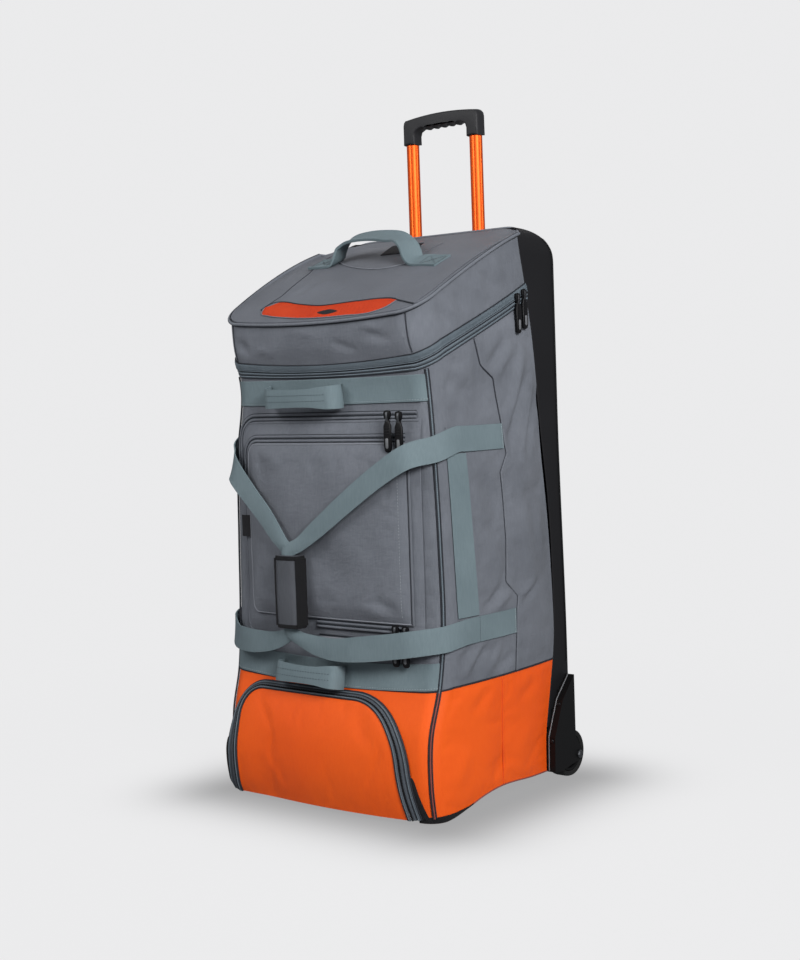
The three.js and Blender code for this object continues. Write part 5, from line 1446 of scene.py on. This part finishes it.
def strap(name):
    shape = STRAPS[name]
    side, upper, lower = shape["side"], shape["upper"], shape["lower"]

    def sewn(y, z, lift):
        u = side_run(side, min(y, STRAP_END[z]), z)
        return (*skin(u, z, GAP + WEB + lift), *wall_normal(u, z), WEB_WIDE)

    def corner(share, z, lift):
        u = side * blend(FRONT_SHARE, CORNER_SHARE, share)
        return (*skin(u, z, lift), *wall_normal(u, z), WEB_WIDE)

    def free(x, y, z, wide):
        return (x, y, z, 0, -1, 0, wide)

    stations = [sewn(y, STRAP_HIGH, lift) for y, lift in SEWN]
    stations += [corner(0.75, blend(STRAP_HIGH, upper[0][2], 0.35), 7),
                 corner(0.5, blend(STRAP_HIGH, upper[0][2], 0.6), shape["lifts"][0])]
    stations += [free(*row) for row in upper]
    stations += [free(GATHER_X, shape["depth"], z, GATHERED) for z in (392, 376, 288, 272)]
    stations += [free(*row) for row in lower]
    stations += [corner(0.5, blend(STRAP_LOW, lower[-1][2], 0.6), shape["lifts"][1]),
                 corner(0.75, blend(STRAP_LOW, lower[-1][2], 0.35), shape["lifts"][1] - 3)]
    stations += [sewn(y, STRAP_LOW, lift) for y, lift in SEWN[::-1]]
    path, out, (wide,) = route(stations, 4)
    bow = GATHER_BOW * np.maximum(0, WEB_WIDE - wide)
    piece = Piece()
    half = np.column_stack((wide / 2, np.full(len(wide), WEB / 2)))
    piece.sweep(path - out * WEB / 2, out, half, FLAT, WEBBING, bow=bow)
    for level, end in STRAP_END.items():
        z = np.linspace(level - 17, level + 17, 12)
        for y, finish in ((webbing_front(level), DARK_THREAD_AND_SEAM_SHADE), (webbing_front(level) + UPRIGHT_WIDE, DARK_THREAD_AND_SEAM_SHADE),
                          (end - 3, PALE_THREAD)):
            wall_stitches(piece, side_run(side, y, z), z, GAP + WEB + 0.5, finish, 3.2, 2.8, 0.6)
        wall_cord(piece, side_run(side, end + 0.5, z), z, 1.2, (0.8, 1.0), DARK_THREAD_AND_SEAM_SHADE)
    piece.make(f"carry_strap_{name}", "webbing", f"strap_{name}")


for name in STRAPS:
    strap(name)

# %% [markdown]
# The wrap is a padded sleeve of grey cloth, bound in black at both ends and along its closing edge; the black
# strip down its right side is made wide, so that it also paints the shade on that side. Flat webbing runs up
# each side between the strap ends, and a double piping covers the seam on each front corner.


# %% Grip wrap, side webbing and corner piping
WRAP_BINDING = np.array((23.3, 13.1))
# Each bound edge: how far from the wrap's middle in x and y, half width and normal. The right one is wider
# than its binding, so that its black also paints the shade on the wrap's right side.
WRAP_EDGES_AND_SHADE = [(-22.4, -9.5, 2.4, (-0.8, -0.6, 0)), (23.4, -2, 10, (0.97, -0.25, 0))]


def upright_line(x, y, z):
    return np.column_stack((np.full(len(z), x), np.full(len(z), y), z))


def grip_wrap():
    piece = Piece()
    low, high = WRAP["low"], WRAP["high"]
    z = np.concatenate((np.linspace(low, low + 10, 8), np.linspace(low + 14, high - 14, 24),
                        np.linspace(high - 10, high, 8)))
    full = 0.93 + 0.07 * np.sin(math.pi * (z - low) / (high - low)) ** 0.5
    half = np.column_stack((WRAP["wide"] / 2 * full, WRAP["deep"] / 2 * full))
    sleeve = oval(56, 3.4)
    piece.sweep(upright_line(WRAP["x"], WRAP["y"], z), (0, -1, 0), half, sleeve, WRAP_CLOTH)
    for a, b in ((low + 0.2, low + 6), (high - 7, high - 0.2)):
        ring = upright_line(WRAP["x"], WRAP["y"], np.linspace(a, b, 8))
        swell = 1 + 0.03 * np.sin(np.linspace(0, math.pi, 8))[:, None] ** 0.5
        piece.sweep(ring, (0, -1, 0), WRAP_BINDING * swell, sleeve, BLACK_BINDING)
    # The wide right strip paints the shade on the wrap's right side.
    for x, y, wide, out in WRAP_EDGES_AND_SHADE:
        line = upright_line(WRAP["x"] + x, WRAP["y"] + y, np.linspace(low + 4, high - 4, 20))
        piece.sweep(line, out, (wide, 1.5), oval(14, 3), BLACK_BINDING)
    piece.make("strap_wrap", "wrap_fabric", "grip_wrap")


def side_webbing(side, name):
    piece = Piece()
    z = np.linspace(STRAP_LOW + 21, STRAP_HIGH - 21, 60)[:, None]
    across = np.linspace(0, 1, 9)[None]
    y = webbing_front(z) + UPRIGHT_WIDE * (across if side > 0 else 1 - across)
    piece.shell(skin(side_run(side, y, z), z, GAP + WEB), WEB, WEBBING)
    z = z[:, 0]
    for shift, finish in ((0, DARK_THREAD_AND_SEAM_SHADE), (UPRIGHT_WIDE, WEBBING)):
        wall_cord(piece, side_run(side, webbing_front(z) + shift, z), z, 0.8, (0.8, 0.8), finish)
    piece.make(f"side_band_{name}", "webbing", f"side_webbing_{name}")


def corner_piping(side, name):
    piece = Piece()
    u = side * (FRONT_SHARE + CORNER_SHARE) / 2
    for low, high, core in ((12, seam_at(u) + 3, PIPING_CORE), (seam_at(u) - 3, zip_bottom(u) - 3, KNIT_TAPE)):
        z = np.linspace(low, float(high), 90)
        out = wall_normal(u, z)
        across = across_path(skin(u, z), out)
        piece.sweep(skin(u, z, 1.0), out, (3.6, 0.7), FLAT, DARK_PIPING)
        wall_cord(piece, u, z, 2.0, (1.3, 1.4), core)
        for shift in (-2.3, 2.3):
            piece.sweep(skin(u, z, 1.7) + across * shift, out, (1.0, 1.3), oval(12), DARK_PIPING)
    piece.make(f"corner_trim_{name}", "zip_tape", f"corner_piping_{name}")


grip_wrap()
for side, name in SIDES:
    side_webbing(side, name)
    corner_piping(side, name)

# %% [markdown]
# The moulded back is a tray whose top rolls forwards. It is built as rows of one outline, with a raised rim
# along its rear corner, and left open where the tubes come out and where the wheel housings sit.

# %% Moulded back
BACK = dict(rear=338, lean=8, corner=12, low=28.6, top=878, roll=58, cap=45)
HOUSING_SIDE = [(331, 168), (297, 133), (272.4, 77), (270.8, 22), (290, 20), (328, 27), (345, 28), (351, 38),
                (345, 50), (331, 66)]
WHEEL_Y, WHEEL_Z, WHEEL_X = 340, 38, 191
TUBE_HOLE, WHEEL_HOLE, HOUSING_X, RIM_ROWS = 15, 42, 168, slice(30, 160)


def in_outline(y, z, outline):
    """True where (y, z) lies inside a closed outline: an odd number of its edges is crossed on the way out."""
    inside = np.zeros(y.shape, bool)
    for (y0, z0), (y1, z1) in zip(outline, outline[1:] + outline[:1]):
        if z0 != z1:
            inside ^= ((z0 > z) != (z1 > z)) & (y < y0 + (y1 - y0) * (z - z0) / (z1 - z0))
    return inside


def back_outline(z):
    lean = BACK["lean"] * (1 - smooth(z, 200, 600))
    rear = BACK["rear"] + lean - round_off(BACK["roll"], z - (BACK["top"] - BACK["roll"]))
    half = BACK_HALF - round_off(BACK["cap"], z - (BACK["top"] - BACK["cap"]))
    edge = blend(rear_at(z) + 1.8, BACK["rear"] - BACK["roll"] - 2, smooth(z, 852, BACK["top"]))
    corner = min(BACK["corner"], (rear - edge) * 0.8)
    turn = np.linspace(0, math.pi / 2, 16)
    flank = [(half, y) for y in np.linspace(edge, rear - corner, 9)[:-1]]
    arc = [(half - corner * (1 - math.cos(a)), rear - corner * (1 - math.sin(a))) for a in turn]
    across = [(x, rear) for x in np.linspace(half - corner, 0, 28)[1:]]
    right = np.array(flank + arc + across)
    left = (right * (-1, 1))[-2::-1]
    return np.column_stack((np.concatenate((right, left)), np.full(2 * len(right) - 1, z)))


def back_panel():
    piece = Piece()
    shoulder = BACK["top"] - BACK["roll"]
    roll = shoulder + BACK["roll"] * np.sin(np.linspace(0, 0.96, 22)[1:] * math.pi / 2)
    grid = np.stack([back_outline(z) for z in np.concatenate((np.linspace(BACK["low"], shoulder, 150), roll))])
    x, y, z = np.moveaxis((grid[:-1, :-1] + grid[1:, 1:]) / 2, -1, 0)
    tube = (np.hypot(abs(x) - TUBE_X, y - TUBE_Y) < TUBE_HOLE) & (z > BACK["top"] - 14)
    wheel = in_outline(y, z, HOUSING_SIDE) | (np.hypot(y - WHEEL_Y, z - WHEEL_Z) < WHEEL_HOLE)
    piece.shell(grid, 3, BLACK_PANEL, keep=~(tube | (wheel & (abs(x) > HOUSING_X))))
    for column in (8, -9):
        out = grid_normals(grid)[RIM_ROWS, column]
        piece.sweep(grid[RIM_ROWS, column] + out * 0.3, out, (1.4, 1.2), ROUND, BLACK_PLASTIC)
    piece.make("back_shell", "black_plastic", "back_panel")


back_panel()

# %% [markdown]
# The wheels are turned shapes: a hub with a dished face and ribs, and a tyre with grooves. A profile of radius
# and width is turned round the axle, as on a lathe. Both parts ride on the wheel's own body, so they spin.

# %% Wheels
# Each profile: radius, then how far out along the axle.
HUB = [(4.5, -11), (24, -11), (28.6, -11), (29.5, -10), (29.5, 10), (28.6, 11), (25.6, 11), (24.4, 9.8), (23.4, 5),
       (13, 5), (11.6, 9.8), (10.6, 11), (5.2, 11), (4.5, 10.4), (4.5, -11)]
HALF_TYRE = [(29.8, -11), (33, -12.6), (35, -13), (36.6, -12.4), (37.6, -10), (38, -7), (38, -4.4), (37, -4),
             (37, -3.2), (38, -2.8)]
TYRE = HALF_TYRE + [(radius, -x) for radius, x in HALF_TYRE[::-1]] + HALF_TYRE[:1]
RIBS = 6


def turned(piece, centre, side, profile, finish, count=72):
    turn = np.linspace(0, 2 * math.pi, count + 1)[:-1]
    radius, x = np.array(profile, float).T
    points = np.stack((centre[0] + side * np.broadcast_to(x[:, None], (len(x), count)),
                       centre[1] + radius[:, None] * np.cos(turn), centre[2] + radius[:, None] * np.sin(turn)), -1)
    near = np.arange(len(x) - 1)[:, None] * count
    m = np.arange(count)
    n = (m + 1) % count
    faces = np.stack((near + m, near + n, near + count + n, near + count + m), -1).reshape(-1, 4)
    piece.add(points, (faces if side < 0 else faces[:, ::-1]).tolist(), finish)


def wheel(side, name):
    hub, tyre = Piece(), Piece()
    centre = (side * WHEEL_X, WHEEL_Y, WHEEL_Z)
    turned(hub, centre, side, HUB, BLACK_PLASTIC)
    along = np.linspace(11, 24.5, 6)
    for a in np.arange(RIBS) * math.pi / 3:
        rib = np.array([centre + r * np.array((0, math.cos(a), math.sin(a))) for r in along])
        hub.sweep(rib + (side * 6, 0, 0), (side, 0, 0), (2.0, 3.4), oval(12, 4), BLACK_PLASTIC)
    hub.make(f"wheel_centre_{name}", "black_plastic", f"wheel_hub_{name}", body=f"wheel_{name}")
    turned(tyre, centre, side, TYRE, TYRE_RUBBER, 96)
    tyre.make(f"wheel_tyre_{name}", "tyre", f"tyre_{name}", body=f"wheel_{name}")


for side, name in SIDES:
    wheel(side, name)

# %% [markdown]
# The pull handle slides on two orange tubes. Six shallow flutes run along each tube, as on an extrusion, and the
# grip is a rounded bar with finger grooves underneath. All three ride on the handle's body.


# %% Pull handle
TUBE_RADIUS, FLUTES, FLUTE_DEPTH = 10.5, 6, 0.08
TUBE_HEIGHTS = np.array((700, 701, 760, 818, 880, 940, 1000, 1035.7))
GRIP_DEEP, GRIP_ROUND = 11.5, 4.2


def handle_tube(side, name):
    turn = np.linspace(0, 2 * math.pi, 145)[:-1]
    flute = np.clip(np.cos(FLUTES * (turn - math.pi / 12)) - 0.72, 0, 1) / 0.28
    section = np.column_stack((np.cos(turn), np.sin(turn))) * (1 - FLUTE_DEPTH * flute)[:, None]
    path = upright_line(side * TUBE_X, TUBE_Y, TUBE_HEIGHTS)
    piece = Piece()
    piece.sweep(path, (0, -1, 0), (TUBE_RADIUS, TUBE_RADIUS), section, ORANGE_TUBE)
    piece.make(f"pull_tube_{name}", "orange_tube", f"handle_tube_{name}", body="handle")


def handle_grip():
    half, leg, under, joint, top, arch = 77.5, 24.5, 1058, 1036, 1077, 6
    inner = half - leg
    crest_x = np.linspace(half - 5, -half + 5, 40)
    crest = np.column_stack((crest_x, top + arch * (1 - (crest_x / half) ** 2)))
    t = np.linspace(0, 1, 73)
    grooves = np.column_stack((blend(-inner + 6, inner - 6, t), under + 2.4 * abs(np.sin(t * 6 * math.pi))))
    foot = np.array([(inner, joint), (inner + 8, joint), (half - 8, joint), (half, joint), (half, joint + 14),
                     (half, top - 9), (half - 1.4, top - 3)])
    lip = np.array([(inner - 2, under - 2), (inner, under - 8)])
    left_foot, left_lip = foot[::-1] * (-1, 1), lip[::-1] * (-1, 1)
    outline = np.concatenate((foot, crest, left_foot, left_lip, grooves, lip))
    tangent = np.roll(outline, -1, 0) - np.roll(outline, 1, 0)
    outside = unit(np.column_stack((tangent[:, 1], -tangent[:, 0])))
    rows = []
    for a in np.linspace(-math.pi / 2, math.pi / 2, 15):
        x, z = (outline - outside * GRIP_ROUND * (1 - math.cos(a) ** 0.6)).T
        y = np.full(len(x), TUBE_Y + GRIP_DEEP * math.sin(a))
        rows.append(np.column_stack((x, y, np.maximum(z, joint))))
    grid = np.stack(rows)
    count = len(outline)
    index = np.arange(grid.shape[0] * count).reshape(-1, count)
    after = np.roll(index, -1, 1)
    faces = np.stack((index[:-1], after[:-1], after[1:], index[1:]), -1).reshape(-1, 4)[:, ::-1].tolist()
    faces += [index[0].tolist(), index[-1][::-1].tolist()]
    piece = Piece().add(grid, faces, GRIP_PLASTIC)
    piece.make("pull_grip", "grip_plastic", "handle_grip", body="handle", sharp=50)


for side, name in SIDES:
    handle_tube(side, name)
handle_grip()

# %% [markdown]
# The rest of the hard parts keep their CAD shape. A bevel softens their edges so that they catch light as
# moulded parts do, and each gets its finish. Screws are added on the wheel housings, with a pale line along
# each housing's edge that paints its highlight.

# %% CAD parts with finishes
SOFT_EDGE, HIGHLIGHT_X, SCREW_X = 0.0016, 207.5, 213
# The pale line along each housing's front edge paints its highlight; these are its points in y and z.
HOUSING_HIGHLIGHT = [(330, 167), (296.4, 133.4), (271.8, 77.3), (270.2, 24)]
SCREWS = [(293.4, 126, (0, -0.915, 0.402)), (271.6, 71, (0, -1, 0.03))]
KEPT = {"handle_bezel": BLACK_PLASTIC, "base_panel": BLACK_PLASTIC}
for part, finish in (("base_foot", BLACK_PLASTIC), ("wheel_housing", BLACK_PLASTIC), ("axle", STEEL),
                     ("guide_tube", STEEL)):
    KEPT.update({f"{part}_{name}": finish for _, name in SIDES})
for node, finish in KEPT.items():
    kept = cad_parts[node]
    kept.data.materials.clear()
    kept.data.materials.append(finish)
    bevel = kept.modifiers.new("soft edges", "BEVEL")
    bevel.width, bevel.segments, bevel.limit_method = SOFT_EDGE, 3, "ANGLE"
print("CAD parts kept:", len(KEPT))


def housing_screws_and_highlight(side, name):
    piece = Piece()
    # A pale cord along the edge paints the housing's highlight.
    edge = [(side * HIGHLIGHT_X, y, z) for y, z in HOUSING_HIGHLIGHT]
    piece.sweep(evenly(np.array(edge), 3), (0, -1, 0), (1.0, 0.8), ROUND, HIGHLIGHT_PLASTIC)
    heights = np.array((-1, 0.6, 1.2))[:, None]
    head = np.array([(3.4, 3.4), (3.4, 3.4), (2.8, 2.8)])
    for y, z, out in SCREWS:
        spot, out = np.array((side * SCREW_X, y, z)), np.array(out)
        piece.sweep(spot + heights * out, (side, 0, 0), head, oval(20), PULL_PLASTIC)
        piece.sweep(spot + (heights * 0.3 + 1.1) * out, (side, 0, 0), (1.6, 1.6), oval(6), BLACK_BINDING)
    piece.make(f"housing_screws_and_highlight_{name}", "black_plastic")


for side, name in SIDES:
    housing_screws_and_highlight(side, name)
